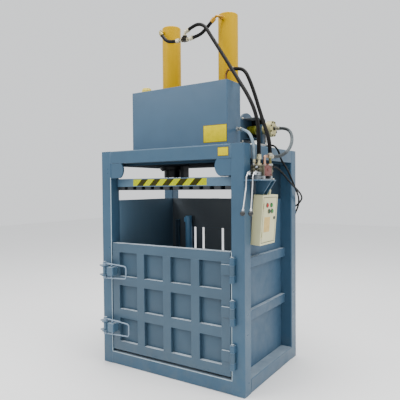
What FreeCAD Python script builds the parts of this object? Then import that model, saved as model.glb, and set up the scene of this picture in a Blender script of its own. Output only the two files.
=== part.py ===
import FreeCAD, Part
import math
import os

# Vertical two-cylinder recycling baler. Sizes are millimetres.
# The origin is the centre of the footprint on the floor, +Z is up, the feed door faces -Y
# and the control side is +X.

Vec = FreeCAD.Vector
X_AXIS = Vec(1, 0, 0)
Y_AXIS = Vec(0, 1, 0)
Z_AXIS = Vec(0, 0, 1)
ORIGIN = Vec(0, 0, 0)

# ---------------------------------------------------------------- frame
FRAME_WIDTH = 1300.0
FRAME_DEPTH = 940.0
FRAME_HEIGHT = 1715.0
TUBE = 100.0                # square section of posts and beams
TUBE_WALL = 6.0
TUBE_CORNER = 8.0           # outside corner radius of the rolled tube
CROSS_WIDTH = 80.0          # floor cross beams
CROSS_SPACING = 235.0

HALF_W = FRAME_WIDTH / 2
FRONT = -FRAME_DEPTH / 2
REAR = FRAME_DEPTH / 2
INNER_X = HALF_W - TUBE
INNER_FRONT = FRONT + TUBE
INNER_REAR = REAR - TUBE
BEAM_UNDERSIDE = FRAME_HEIGHT - TUBE

# ---------------------------------------------------------------- gussets in the feed opening
GUSSET_THICK = 16.0
GUSSET_RECESS = 4.0
GUSSET_TOP = 110.0          # width along the beam
GUSSET_BULGE = 127.0        # widest reach from the post
GUSSET_BULGE_DROP = 37.0
GUSSET_FOOT = 93.0          # width of the level bottom edge
GUSSET_HEIGHT = 115.0

# ---------------------------------------------------------------- chamber
SHEET = 6.0
WALL_TOP = 1322.0
RIB_DEPTH = 35.0
RIB_HEIGHT = 70.0
RIB_CENTRES = (503.0, 883.0)
RIB_WALL = 5.0
SLOT_TOP = 1055.0           # top of the strap slots in the rear wall
SLOT_WIDTH = 24.0
SLOT_CENTRES = (-295.0, -205.0, 0.0, 205.0, 295.0)
STIFFENER_X = 102.0
STIFFENER_WIDTH = 70.0
STIFFENER_DEPTH = 50.0
CHANNEL_PITCH = 90.0        # strap channels in floor and platen
CHANNEL_WIDTH = 30.0
CHANNEL_COUNT = 11
CHANNEL_CHAMFER = 4.0
BAR_HEIGHT = 28.0
FLOOR_SHEET = 6.0
FLOOR_LAP = 70.0            # how far the floor plate lies on the front beam
EDGE_GAP = 5.0              # floor bars to walls

# ---------------------------------------------------------------- uprights standing at the rear wall
UPRIGHT_X = -339.0
UPRIGHT_BACK = 40.0         # tube axis in front of the rear wall
UPRIGHT_RADIUS = 31.0
UPRIGHT_WALL = 4.0
UPRIGHT_TOP = 1160.0
UPRIGHT_HOOK = 18.0
UPRIGHT_HOOK_HEIGHT = 42.0
FLAT_X = -480.0
FLAT_WIDTH = 40.0
FLAT_THICK = 16.0
FLAT_BACK = 7.0             # gap between the flat upright and the rear wall
FLAT_TOP = 1121.0
UPRIGHT_GAP = 10.0          # platen notch and floor bars to the uprights

UPRIGHT_Y = INNER_REAR - UPRIGHT_BACK

# ---------------------------------------------------------------- door
DOOR_GAP_LATCH = 7.0
DOOR_GAP_HINGE = 10.0
DOOR_BOTTOM = 122.0
DOOR_TOP = 980.0
DOOR_RECESS = 5.0
DOOR_GRID = 47.0            # depth of the pockets
DOOR_SKIN = 8.0
DOOR_RAIL = 71.0
DOOR_RAIL_WALL = 4.0
DOOR_COLUMNS = 4
DOOR_ROWS = 3

DOOR_LEFT = -INNER_X + DOOR_GAP_LATCH
DOOR_RIGHT = INNER_X - DOOR_GAP_HINGE
DOOR_FRONT = FRONT + DOOR_RECESS
DOOR_BACK = DOOR_FRONT + DOOR_GRID + DOOR_SKIN

# ---------------------------------------------------------------- door hinges
HINGE_OFFSET_X = 18.0       # axis beyond the post's inner face
HINGE_OFFSET_Y = 20.0       # axis in front of the frame
HINGE_TOPS = (944.0, 653.0, 352.0)
KNUCKLE_TOP = 49.0
KNUCKLE_MID = 72.0
KNUCKLE_LOW = 48.0
KNUCKLE_RADIUS = 18.0
KNUCKLE_GAP = 1.0
LEAF_REACH = 93.0           # strap leaf from the axis across the door
LEAF_THICK = 10.0
LEAF_SHIM = 66.0
HINGE_PIN = 8.0
RUNNING_FIT = 0.08

HINGE_X = INNER_X + HINGE_OFFSET_X
HINGE_Y = FRONT - HINGE_OFFSET_Y

# ---------------------------------------------------------------- door latches
LATCH_HEIGHTS = {"upper": 762.0, "lower": 314.0}
LATCH_PIVOT_IN = 70.0       # pivot inboard of the post's outer face
LATCH_PIVOT_OUT = 50.0      # pivot in front of the frame
LUG_TAIL = 57.0             # lug from the pin towards the outside of the post
LUG_NOSE = 28.0
LUG_THICK = 8.0
LUG_SPACING = 66.0          # clear height between the two lugs
LATCH_PIN = 10.0
PIN_HEAD = 6.0
PIN_HEAD_RIM = 4.0
HUB_RADIUS = 15.0
HUB_CLEAR = 0.6
BLOCK_NEAR = 48.0           # block, measured along the arm from the pivot
BLOCK_FAR = 104.0
BLOCK_FRONT = 23.0
BLOCK_SEAT = 0.3
KEEPER_REACH = (40.0, 106.0)
KEEPER_THICK = 7.0
KEEPER_HEIGHT = 80.0
KEEPER_PAD = (52.0, 100.0)
KEEPER_PAD_THICK = 13.0
KEEPER_PAD_HEIGHT = 50.0
BAIL_WIRE = 5.0
BAIL_HALF = 60.0            # half width of the bail at its eyes and at its end
BAIL_END_HALF = 48.0
BAIL_REACH = {"upper": 226.0, "lower": 248.0}
BAIL_BEND = 20.0
BAIL_EYE = 15.0
BAIL_TAB = (14.0, 8.0)      # tab that holds each leg of the bail on the block

PIVOT_X = -HALF_W + LATCH_PIVOT_IN
PIVOT_Y = FRONT - LATCH_PIVOT_OUT

# ---------------------------------------------------------------- cylinder deck
DECK_THICK = 15.0
DECK_LAP = 50.0
COVER_THICK = 8.0
CROSSHEAD_NEAR = 90.0       # inner faces of the two cylinder beams from the centre
CROSSHEAD_WIDTH = 70.0

# ---------------------------------------------------------------- cylinders and platen
CYLINDER_X = 275.0
BARREL_RADIUS = 78.5
BARREL_WALL = 16.0
BARREL_RISE = 1056.0        # barrel above the frame
BARREL_CAP = 30.0
BARREL_EDGE = 5.0
BORE_GAP = 1.0              # barrel to the holes in deck and cover
ROD_RADIUS = 35.0
HEAD_RADIUS = 74.0
HEAD_DROP = 62.0
FLANGE_RADIUS = 107.5
FLANGE_THICK = 28.0
FLANGE_BOLTS = 8
FLANGE_BOLT = 9.0
PISTON_LENGTH = 60.0
PISTON_PARK = 46.0          # piston below the cap at the top of its stroke
PORT_DROP = 47.6
PORT_ANGLES = {-1: math.radians(20.5), 1: 0.0}      # top port of the left and the right cylinder
PORT_RADIUS = 15.0
PORT_REACH = 18.5
PLATEN_PARK = 4.0           # rod foot below the gland at the top of the stroke
PLATEN_HEIGHT = 63.0
PLATEN_WALL = 10.0
PLATEN_SIDE_GAP = 10.0
PLATEN_DOOR_GAP = 8.0
PLATEN_REAR_GAP = 8.0
ROD_FOOT_RADIUS = 65.0
ROD_FOOT = 12.0
STOP_X = (-166.5, -136.0)
STOP_HALF = 40.0
STOP_GAP = 0.3

DECK_UNDERSIDE = BEAM_UNDERSIDE - DECK_THICK
BARREL_BORE = BARREL_RADIUS - BARREL_WALL
BARREL_TOP = FRAME_HEIGHT + BARREL_RISE
PISTON_TOP = BARREL_TOP - BARREL_CAP - PISTON_PARK
PORT_HEIGHT = BARREL_TOP - PORT_DROP
GLAND_BOTTOM = DECK_UNDERSIDE - FLANGE_THICK - HEAD_DROP
PLATEN_TOP = GLAND_BOTTOM - ROD_FOOT - PLATEN_PARK
PLATEN_BOTTOM = PLATEN_TOP - PLATEN_HEIGHT
PLATEN_HALF = INNER_X - PLATEN_SIDE_GAP
PLATEN_FRONT = DOOR_BACK + PLATEN_DOOR_GAP
PLATEN_REAR = INNER_REAR - PLATEN_REAR_GAP

# ---------------------------------------------------------------- oil tank
TANK_HALF = 443.0
TANK_SETBACK = 150.0        # tank front behind the frame's front
TANK_DEPTH = 202.0
TANK_HEIGHT = 475.0
TANK_WALL = 4.0
CAP_INSET = 53.0
CAP_RADIUS = 40.0
NECK_RADIUS = 30.0
NECK_HEIGHT = 14.0
CAP_HEIGHT = 40.0

TANK_FRONT = FRONT + TANK_SETBACK
TANK_BACK = TANK_FRONT + TANK_DEPTH
CAP_X = -TANK_HALF + CAP_INSET
CAP_Y = TANK_FRONT + TANK_DEPTH * 0.6
TANK_TOP = FRAME_HEIGHT + TANK_HEIGHT

# ---------------------------------------------------------------- motor and pump
DRIVE_SETBACK = 220.0       # motor axis in front of the frame's rear
SHAFT_HEIGHT = 132.0
BASE_HEIGHT = 40.0
BASE_HALF = 80.0
BASE_LENGTH = (10.0, 461.0)
MOTOR_RADIUS = 125.0
MOTOR_END = 300.0
MOTOR_LENGTH = 300.0
MOTOR_FLANGE = 147.0
MOTOR_FLANGE_THICK = 15.0
FIN_COUNT = 24
FIN_DEPTH = 10.0
FIN_THICK = 4.0
COUPLING_RADIUS = 37.0
COUPLING_START = 325.0
COUPLING_END = 395.0
SHAFT_RADIUS = 19.0
PUMP_PLATE = 445.0
PUMP_PLATE_THICK = 16.0
PUMP_PLATE_FOOT = 22.0      # half widths of the bracket at the rail and at the pump
PUMP_PLATE_HALF = 38.0
PUMP_PLATE_SHOULDER = 25.0
PUMP_NECK_RADIUS = 36.0
PUMP_NECK = 42.0
PUMP_RADIUS = 65.0
PUMP_LENGTH = 87.0          # neck and body
PUMP_COVER = 18.0
PUMP_BOLTS = 8
PUMP_BOLT = 6.0
GUARD_END = 440.0
GUARD_RISE = 90.0
GUARD_DROP = 70.0
GUARD_SHEET = 6.0
TERMINAL_X = (60.0, 160.0)
TERMINAL_DEPTH = 55.0
TERMINAL_HEIGHT = 90.0
TERMINAL_GLAND = (14.5, 19.0)       # behind the box's front, below the shaft

DRIVE_Y = REAR - DRIVE_SETBACK
DRIVE_Z = FRAME_HEIGHT + BASE_HEIGHT + SHAFT_HEIGHT
PUMP_FACE = PUMP_PLATE + PUMP_PLATE_THICK
PUMP_BODY = PUMP_FACE + PUMP_NECK
PUMP_END = PUMP_FACE + PUMP_LENGTH
BASE_TOP = FRAME_HEIGHT + BASE_HEIGHT

# ---------------------------------------------------------------- valve bank
SHELF_DROP = 245.0          # shelf below the top of the frame
SHELF_THICK = 8.0
SHELF_REACH = 121.0
SHELF_LENGTH = 251.0
VALVE_GAP = 5.0
VALVE_WIDTH = 96.0
VALVE_SETBACK = 95.0
VALVE_LENGTH = 140.0
VALVE_FOOT = 25.0
VALVE_HEIGHT = 72.0
SPOOL_INSET = 25.0
SPOOL_PITCH = 46.0
SPOOL_RADIUS = 17.0
SPOOL_CAP = 45.0
EAR_REACH = 80.0
EAR_THICK = 5.0
EAR_HEIGHT = 24.0
LEVER_GAP = 12.0
LEVER_CLEAR = 0.3
LEVER_HUB = 10.0
LEVER_PIN = 4.0
LEVER_DROP = 260.0
LEVER_FORWARDS = (108.0, 82.0)
LEVER_ELBOW = (49.0, 12.0)  # bends of the stem, as forward of and below its pivot
LEVER_KINK = (55.0, 88.0)
LEVER_BENDS = (14.0, 100.0)
LEVER_ROD = 5.0
KNOB_RADIUS = 18.0
PIVOT_DROP = 22.0           # lever pivots under the spool axes

SHELF_TOP = FRAME_HEIGHT - SHELF_DROP
VALVE_X = (HALF_W + VALVE_GAP, HALF_W + VALVE_GAP + VALVE_WIDTH)
VALVE_Y = (FRONT + VALVE_SETBACK, FRONT + VALVE_SETBACK + VALVE_LENGTH)
VALVE_BASE = SHELF_TOP + VALVE_FOOT
VALVE_TOP = VALVE_BASE + VALVE_HEIGHT
SPOOL_X = (VALVE_X[0] + SPOOL_INSET, VALVE_X[0] + SPOOL_INSET + SPOOL_PITCH)
SPOOL_Z = VALVE_BASE + VALVE_HEIGHT / 2
LEVER_Y = VALVE_Y[0] - EAR_REACH + LEVER_HUB + LEVER_PIN
LEVER_Z = SPOOL_Z - PIVOT_DROP

# ---------------------------------------------------------------- control box, built upright and then leaned
BOX_SETBACK = 140.0
BOX_WIDTH = 250.0
BOX_HEIGHT = 350.0
BOX_DROP = 100.0            # top of the box below the valve shelf
BOX_OUT = 75.0              # face of the box beyond the frame's side
BOX_DEPTH = 71.0
BOX_SHEET = 2.0
BOX_LEAN = 4.6
BOX_RIM = 18.0
BOX_FLANGE = 4.0
BOX_CORNER = 3.0
BOX_DOOR_GAP = 1.0
BOX_DOOR_THICK = 3.0
BOX_HINGE = 4.0
BOX_HINGE_PIN = 2.0
BOX_HINGE_LENGTH = 36.0
BOX_HINGE_INSET = 40.0
HANGER_THICK = 8.0
HANGER_SETBACKS = (170.0, 234.0)
HANGER_FOOT = 50.0
BUTTON_RADIUS = 14.0
BUTTON_BEZEL = 17.0
BEZEL_PROUD = 4.0
BUTTON_PROUD = 9.0
BUTTON_TRAVEL = 4.0
BUTTON_EDGE = 2.0
# Rows of buttons: distance below the top of the box, then each button from its front end.
BUTTON_ROWS = ((72.0, (76.0, 144.0)), (115.0, (111.0, 161.0)))
LOCK_COLUMN = 205.0
LOCK_ROW = 165.0
LOCK_RADIUS = 11.0
LOCK_PROUD = 6.0
LOCK_TAIL = 8.0
KEY_SLOT = 1.2
BOX_GLAND = (34.6, 180.0)   # in front of the box's back, behind its front end
BOX_GLAND_RISE = 34.88

BOX_TOP = SHELF_TOP - BOX_DROP
BOX_FACE = HALF_W + BOX_OUT
BOX_BACK = BOX_FACE - BOX_DEPTH
BOX_Y = (FRONT + BOX_SETBACK, FRONT + BOX_SETBACK + BOX_WIDTH)

# ---------------------------------------------------------------- hoses, as routes chosen by eye
HOSE = 27.0
RETURN_HOSE = 21.0
PRESSURE_HOSE = 25.0
CABLE = 14.0
FERRULE_WALL = 3.0
PIPE = 9.0
NUT_LENGTH = 13.5
NUT_OVERSIZE = 1.5
ELBOW_BEND = 12.0
STRAIGHT_BELOW = 8.0        # degrees of turn that need no elbow
GLAND_RADIUS = 10.0
GLAND_LENGTH = 42.0
GLAND_PROUD = 16.0
TEE_HALF = 18.0
# Each hose end's elbow: its corner beyond the end of the hose, and the length of its sleeve.
LEFT_CYLINDER_ELBOW = (60.0, 30.0)
RIGHT_CYLINDER_NECK = (60.0, 38.0)
RIGHT_NECK_OUT = 31.0       # first bend of the right cylinder's pipe in front of its port
SUPPLY_ELBOW = (38.0, 34.0)
LOWER_PORT_ELBOW = (38.0, 34.0)
PRESSURE_ELBOW = (108.0, 40.0)
RETURN_ELBOW = (26.0, 24.0)
TANK_ELBOW = (36.0, 24.0)
PUMP_STUB = (36.0, 30.0)
TEE_SIDE_ELBOW = (48.0, 34.0)
TEE_TOP_ELBOW = (45.0, 34.0)
RISER_ELBOW = (62.0, 34.0)
LOWER_PORT_RISE = 60.0
RISER_X = 309.0
RISER_BEND = 28.0
SUCTION_PIPE = 11.0
SUCTION_RISE = 40.0
SUCTION_X = 410.0
SUCTION_Y = 100.0
SUCTION_INSET = 21.0
SUCTION_BEND = 28.0
# Heights are above the top of the frame.
TEE_CENTRE = (-35.0, -150.0, 885.0)
ROUTES = {
    "hose_left_cylinder": (HOSE, [
        (-278, -126, 965), (-240, -138, 918), (-180, -147, 888), (-116, -150, 885)]),
    "hose_right_cylinder": (HOSE, [
        (46, -150, 885), (98, -149, 891), (144, -145, 916), (203, -134, 976.5)]),
    "hose_supply": (HOSE, [
        (7, -152, 954), (56, -154, 974), (116, -162, 973), (172, -173, 940),
        (221, -184, 866), (304, -200, 748), (399, -222, 614), (507, -262, 466),
        (589, -290, 354), (653, -318, 248), (692, -340, 143), (703, -350, 35),
        (703, -350, -74)]),
    "hose_lower_port": (HOSE, [
        (395, -121, 594), (452, -132, 589), (501, -142, 555), (545, -155, 472),
        (586, -169, 377), (632, -189, 257), (684, -216, 135), (738, -249, 27),
        (741, -252, -63)]),
    "hose_pressure": (PRESSURE_HOSE, [
        (603, 250, 172), (652, 246, 169), (700, 230, 137), (728, 195, 80),
        (744, 130, 20), (748, 50, -30), (738, -35, -65), (721, -100, -78),
        (716, -160, -79)]),
    "hose_tank": (RETURN_HOSE, [
        (498, -200, 125), (548, -232, 109), (600, -283, 80), (640, -333, 47),
        (668, -362, 3), (673, -364, -53), (668, -352, -103)]),
    "control_cable": (CABLE, [
        (176, 112, 153), (214, 112, 153), (252, 110, 133), (282, 108, 93),
        (312, 106, 51), (362, 102, 23), (430, 90, 12), (500, 70, 10),
        (560, 50, 11), (625, 25, 23), (668, 10, 7), (690, 20, -33),
        (694, 50, -87), (698, 104, -125), (698, 165, -159), (694, 232, -207),
        (690, 308, -265), (684, 392, -325), (673, 480, -385), (655, 520, -451),
        (625, 524, -515), (600, 522, -580), (572, 520, -635), (530, 518, -665),
        (484, 518, -653), (462, 520, -610), (472, 526, -560), (510, 534, -515),
        (565, 542, -483), (622, 552, -457), (662, 542, -421), (694, 500, -389),
        (708, 425, -353), (716, 340, -323), (718, 250, -291), (718, 160, -255),
        (714, 85, -216), (708, 24, -182), (703, -34, -159), (699, -84, -146),
        (697, -124, -155), (697, -146, -191), (696.5, -150, -233), (694.5, -150, -273),
        (691.3, -150, -313)]),
}


# ================================================================ helpers
def box(x0, x1, y0, y1, z0, z1):
    return Part.makeBox(x1 - x0, y1 - y0, z1 - z0, Vec(x0, y0, z0))


def rod(radius, start, end):
    axis = end - start
    return Part.makeCylinder(radius, axis.Length, start, axis)


def ring(radius, bore, start, end):
    return rod(radius, start, end).cut(rod(bore, start, end))


def fuse(shapes):
    joined = shapes[0].multiFuse(shapes[1:]) if len(shapes) > 1 else shapes[0]
    return joined.removeSplitter()


def mirrored(shape):
    return shape.mirror(ORIGIN, X_AXIS)


def edges_along(shape, axis):
    picked = []
    for edge in shape.Edges:
        if not isinstance(edge.Curve, Part.Line):
            continue
        if abs(edge.tangentAt(edge.FirstParameter).dot(axis)) > 0.999:
            picked.append(edge)
    return picked


def end_rim(shape, centre):
    """Circular edge round the end of a turned piece."""
    rims = []
    for edge in shape.Edges:
        if isinstance(edge.Curve, Part.Circle) and edge.CenterOfMass.distanceToPoint(centre) < 0.01:
            rims.append(edge)
    return rims


def closed_tube(x0, x1, y0, y1, z0, z1):
    """Rolled square tube with welded end caps, running along its longest side."""
    spans = [(x1 - x0, X_AXIS), (y1 - y0, Y_AXIS), (z1 - z0, Z_AXIS)]
    axis = max(spans, key=lambda span: span[0])[1]
    outer = box(x0, x1, y0, y1, z0, z1)
    outer = outer.makeFillet(TUBE_CORNER, edges_along(outer, axis))
    wall = TUBE_WALL
    inner = box(x0 + wall, x1 - wall, y0 + wall, y1 - wall, z0 + wall, z1 - wall)
    return outer.cut(inner)


def save(name, shapes):
    solids = []
    for shape in shapes:
        solids.extend(shape.Solids)
    whole = solids[0] if len(solids) == 1 else Part.makeCompound(solids)
    whole.exportStep(os.path.join("parts", name + ".step"))
    print(name, len(solids), round(sum(solid.Volume for solid in solids) / 1000.0, 1), "cm3")


# ================================================================ frame
def post(x_side, y0):
    x0 = INNER_X if x_side > 0 else -HALF_W
    return closed_tube(x0, x0 + TUBE, y0, y0 + TUBE, 0.0, FRAME_HEIGHT)


def beam_ring(z0):
    front = closed_tube(-INNER_X, INNER_X, FRONT, INNER_FRONT, z0, z0 + TUBE)
    rear = closed_tube(-INNER_X, INNER_X, INNER_REAR, REAR, z0, z0 + TUBE)
    side = closed_tube(INNER_X, HALF_W, INNER_FRONT, INNER_REAR, z0, z0 + TUBE)
    return [front, rear, side, mirrored(side)]


def floor_cross_beams():
    beams = []
    for y in (-CROSS_SPACING, 0.0, CROSS_SPACING):
        beams.append(closed_tube(-INNER_X, INNER_X, y - CROSS_WIDTH / 2, y + CROSS_WIDTH / 2, 0.0, TUBE))
    return beams


def gusset():
    y0 = FRONT + GUSSET_RECESS
    top = BEAM_UNDERSIDE
    bottom = top - GUSSET_HEIGHT
    corner = Vec(INNER_X, y0, top)
    along_beam = Vec(INNER_X - GUSSET_TOP, y0, top)
    bulge = Vec(INNER_X - GUSSET_BULGE, y0, top - GUSSET_BULGE_DROP)
    foot_in = Vec(INNER_X - GUSSET_FOOT, y0, bottom)
    foot_out = Vec(INNER_X, y0, bottom)
    outline = Part.Wire([
        Part.makeLine(corner, along_beam),
        Part.Arc(along_beam, bulge, foot_in).toShape(),
        Part.makeLine(foot_in, foot_out),
        Part.makeLine(foot_out, corner)])
    return Part.Face(outline).extrude(Vec(0, GUSSET_THICK, 0))


# ================================================================ chamber
def rib_channel(z_centre):
    """U-shaped rib on the outside of a chamber wall, open towards the sheet."""
    x0 = INNER_X + SHEET
    z0 = z_centre - RIB_HEIGHT / 2
    z1 = z_centre + RIB_HEIGHT / 2
    outer = box(x0, x0 + RIB_DEPTH, INNER_FRONT, INNER_REAR, z0, z1)
    inner = box(x0, x0 + RIB_DEPTH - RIB_WALL, INNER_FRONT + RIB_WALL, INNER_REAR - RIB_WALL,
                z0 + RIB_WALL, z1 - RIB_WALL)
    return outer.cut(inner)


def side_wall():
    sheet = box(INNER_X, INNER_X + SHEET, INNER_FRONT, INNER_REAR, TUBE, WALL_TOP)
    return [sheet] + [rib_channel(z) for z in RIB_CENTRES]


def rear_wall():
    return [box(-INNER_X, INNER_X, INNER_REAR, INNER_REAR + SHEET, SLOT_TOP, WALL_TOP)]


def rear_bars():
    """Vertical strips between the strap slots, with two upright stiffeners behind them."""
    edges = [-INNER_X]
    for centre in SLOT_CENTRES:
        edges.extend([centre - SLOT_WIDTH / 2, centre + SLOT_WIDTH / 2])
    edges.append(INNER_X)
    bars = []
    for left, right in zip(edges[0::2], edges[1::2]):
        bars.append(box(left, right, INNER_REAR, INNER_REAR + SHEET, TUBE, SLOT_TOP))
    for side in (-1, 1):
        centre = side * STIFFENER_X
        y0 = INNER_REAR + SHEET
        outer = box(centre - STIFFENER_WIDTH / 2, centre + STIFFENER_WIDTH / 2,
                    y0, y0 + STIFFENER_DEPTH, TUBE, WALL_TOP)
        inner = box(centre - STIFFENER_WIDTH / 2 + RIB_WALL, centre + STIFFENER_WIDTH / 2 - RIB_WALL,
                    y0, y0 + STIFFENER_DEPTH - RIB_WALL, TUBE + RIB_WALL, WALL_TOP - RIB_WALL)
        bars.append(outer.cut(inner))
    return bars


def upright_notch(z0, z1, gap):
    """Space kept free round the two uprights, open to the rear wall."""
    left = FLAT_X - FLAT_WIDTH / 2 - gap
    right = UPRIGHT_X + UPRIGHT_RADIUS + gap
    front = UPRIGHT_Y - UPRIGHT_RADIUS - gap
    return box(left, right, front, REAR, z0, z1)


def strap_bars(half_width, y0, y1, z0, z1, front_chamfer):
    """Row of bars with strap channels between them, on one pitch for floor and platen."""
    first = -CHANNEL_PITCH * (CHANNEL_COUNT - 1) / 2
    edges = [-half_width]
    for index in range(CHANNEL_COUNT):
        centre = first + index * CHANNEL_PITCH
        edges.extend([centre - CHANNEL_WIDTH / 2, centre + CHANNEL_WIDTH / 2])
    edges.append(half_width)
    bars = []
    for left, right in zip(edges[0::2], edges[1::2]):
        bar = box(left, right, y0, y1, z0, z1)
        if front_chamfer:
            fronts = [edge for edge in edges_along(bar, Z_AXIS) if edge.CenterOfMass.y < y0 + 1]
            bar = bar.makeChamfer(CHANNEL_CHAMFER, fronts)
        bars.append(bar.cut(upright_notch(z0, z1, UPRIGHT_GAP)))
    return bars


def chamber_floor():
    plate = box(-INNER_X, INNER_X, FRONT + FLOOR_LAP, INNER_REAR, TUBE, TUBE + FLOOR_SHEET)
    z0 = TUBE + FLOOR_SHEET
    bars = strap_bars(INNER_X - EDGE_GAP, FRONT + FLOOR_LAP + EDGE_GAP, INNER_REAR - EDGE_GAP,
                      z0, z0 + BAR_HEIGHT, False)
    return [plate] + bars


def rear_uprights():
    floor = TUBE + FLOOR_SHEET
    foot = Vec(UPRIGHT_X, UPRIGHT_Y, floor)
    head = Vec(UPRIGHT_X, UPRIGHT_Y, UPRIGHT_TOP)
    hook_top = UPRIGHT_TOP - UPRIGHT_RADIUS / 2
    pipe = ring(UPRIGHT_RADIUS, UPRIGHT_RADIUS - UPRIGHT_WALL, foot, head)
    hook_left = UPRIGHT_X - UPRIGHT_RADIUS
    hook = box(hook_left - UPRIGHT_HOOK, UPRIGHT_X - UPRIGHT_RADIUS + UPRIGHT_WALL / 2,
               UPRIGHT_Y - UPRIGHT_WALL, UPRIGHT_Y + UPRIGHT_WALL,
               hook_top - UPRIGHT_HOOK_HEIGHT, hook_top)
    hook_bite = box(hook_left - UPRIGHT_HOOK / 2, hook_left - UPRIGHT_WALL / 2,
                    UPRIGHT_Y - UPRIGHT_WALL, UPRIGHT_Y + UPRIGHT_WALL,
                    hook_top - UPRIGHT_HOOK_HEIGHT / 2, hook_top)
    rear = INNER_REAR - FLAT_BACK
    flat = box(FLAT_X - FLAT_WIDTH / 2, FLAT_X + FLAT_WIDTH / 2, rear - FLAT_THICK, rear, floor, FLAT_TOP)
    return [fuse([pipe, hook.cut(hook_bite)]), flat]


# ================================================================ door
def door_bar(x0, x1, z0, z1):
    """Hollow bar of the door's grid, closed at its ends."""
    y0 = DOOR_FRONT
    y1 = DOOR_FRONT + DOOR_GRID
    wall = DOOR_RAIL_WALL
    outer = box(x0, x1, y0, y1, z0, z1)
    return outer.cut(box(x0 + wall, x1 - wall, y0 + wall, y1 - wall, z0 + wall, z1 - wall))


def door_panel():
    """Two rails, the uprights between them and short cross bars, welded to a flat skin."""
    width = DOOR_RIGHT - DOOR_LEFT
    height = DOOR_TOP - DOOR_BOTTOM
    pocket_w = (width - (DOOR_COLUMNS + 1) * DOOR_RAIL) / DOOR_COLUMNS
    pocket_h = (height - (DOOR_ROWS + 1) * DOOR_RAIL) / DOOR_ROWS
    low = DOOR_BOTTOM + DOOR_RAIL
    high = DOOR_TOP - DOOR_RAIL
    bars = [door_bar(DOOR_LEFT, DOOR_RIGHT, DOOR_BOTTOM, low),
            door_bar(DOOR_LEFT, DOOR_RIGHT, high, DOOR_TOP)]
    for column in range(DOOR_COLUMNS + 1):
        x0 = DOOR_LEFT + column * (pocket_w + DOOR_RAIL)
        bars.append(door_bar(x0, x0 + DOOR_RAIL, low, high))
        if column == DOOR_COLUMNS:
            break
        for row in range(1, DOOR_ROWS):
            z0 = DOOR_BOTTOM + row * (pocket_h + DOOR_RAIL)
            bars.append(door_bar(x0 + DOOR_RAIL, x0 + DOOR_RAIL + pocket_w, z0, z0 + DOOR_RAIL))
    skin = box(DOOR_LEFT, DOOR_RIGHT, DOOR_FRONT + DOOR_GRID, DOOR_BACK, DOOR_BOTTOM, DOOR_TOP)
    return bars + [skin]


def hinge_point(z):
    return Vec(HINGE_X, HINGE_Y, z)


def hinge_leaf(top):
    """Door half of a hinge: the middle knuckle and its strap on the door's face."""
    z1 = top - KNUCKLE_TOP - KNUCKLE_GAP
    z0 = z1 - KNUCKLE_MID + 2 * KNUCKLE_GAP
    strap_y1 = FRONT - KNUCKLE_GAP
    strap = box(HINGE_X - LEAF_REACH, HINGE_X, strap_y1 - LEAF_THICK, strap_y1, z0, z1)
    shim = box(HINGE_X - LEAF_REACH, HINGE_X - LEAF_REACH + LEAF_SHIM, strap_y1, DOOR_FRONT, z0, z1)
    knuckle = rod(KNUCKLE_RADIUS, hinge_point(z0), hinge_point(z1))
    leaf = fuse([strap, shim, knuckle])
    return leaf.cut(rod(HINGE_PIN + RUNNING_FIT, hinge_point(z0), hinge_point(z1)))


def frame_knuckle(z0, z1):
    """Post half of a hinge: a knuckle on a foot welded to the post."""
    knuckle = rod(KNUCKLE_RADIUS, hinge_point(z0), hinge_point(z1))
    foot = box(HINGE_X, HINGE_X + KNUCKLE_RADIUS, HINGE_Y, FRONT, z0, z1)
    return fuse([knuckle, foot]).cut(rod(HINGE_PIN + RUNNING_FIT, hinge_point(z0), hinge_point(z1)))


def hinge_knuckles():
    knuckles = []
    for top in HINGE_TOPS:
        knuckles.append(frame_knuckle(top - KNUCKLE_TOP, top))
        low_top = top - KNUCKLE_TOP - KNUCKLE_MID
        knuckles.append(frame_knuckle(low_top - KNUCKLE_LOW, low_top))
    return knuckles


def pivot_pins():
    """Hinge pins and latch pins, each with a head above the topmost knuckle or lug."""
    pins = []
    for top in HINGE_TOPS:
        bottom = top - KNUCKLE_TOP - KNUCKLE_MID - KNUCKLE_LOW
        shank = rod(HINGE_PIN, hinge_point(bottom), hinge_point(top))
        head = rod(HINGE_PIN + PIN_HEAD_RIM, hinge_point(top), hinge_point(top + PIN_HEAD))
        pins.append(fuse([shank, head]))
    reach = BAIL_HALF + BAIL_WIRE + HUB_CLEAR
    for z in LATCH_HEIGHTS.values():
        shank = rod(LATCH_PIN, latch_point(z - reach), latch_point(z + reach))
        head = rod(LATCH_PIN + PIN_HEAD_RIM, latch_point(z + reach), latch_point(z + reach + PIN_HEAD))
        pins.append(fuse([shank, head]))
    return pins


# ================================================================ latches
def latch_point(z):
    return Vec(PIVOT_X, PIVOT_Y, z)


def latch_lugs():
    lugs = []
    for z in LATCH_HEIGHTS.values():
        for side in (-1, 1):
            near = z + side * LUG_SPACING / 2
            far = near + side * LUG_THICK
            z0, z1 = min(near, far), max(near, far)
            tab = box(PIVOT_X - LUG_TAIL, PIVOT_X + LUG_NOSE, PIVOT_Y, FRONT, z0, z1)
            nose = rod(LUG_NOSE, latch_point(z0), latch_point(z1))
            bore = rod(LATCH_PIN + RUNNING_FIT, latch_point(z0), latch_point(z1))
            lugs.append(fuse([tab, nose]).cut(bore))
    return lugs


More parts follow.
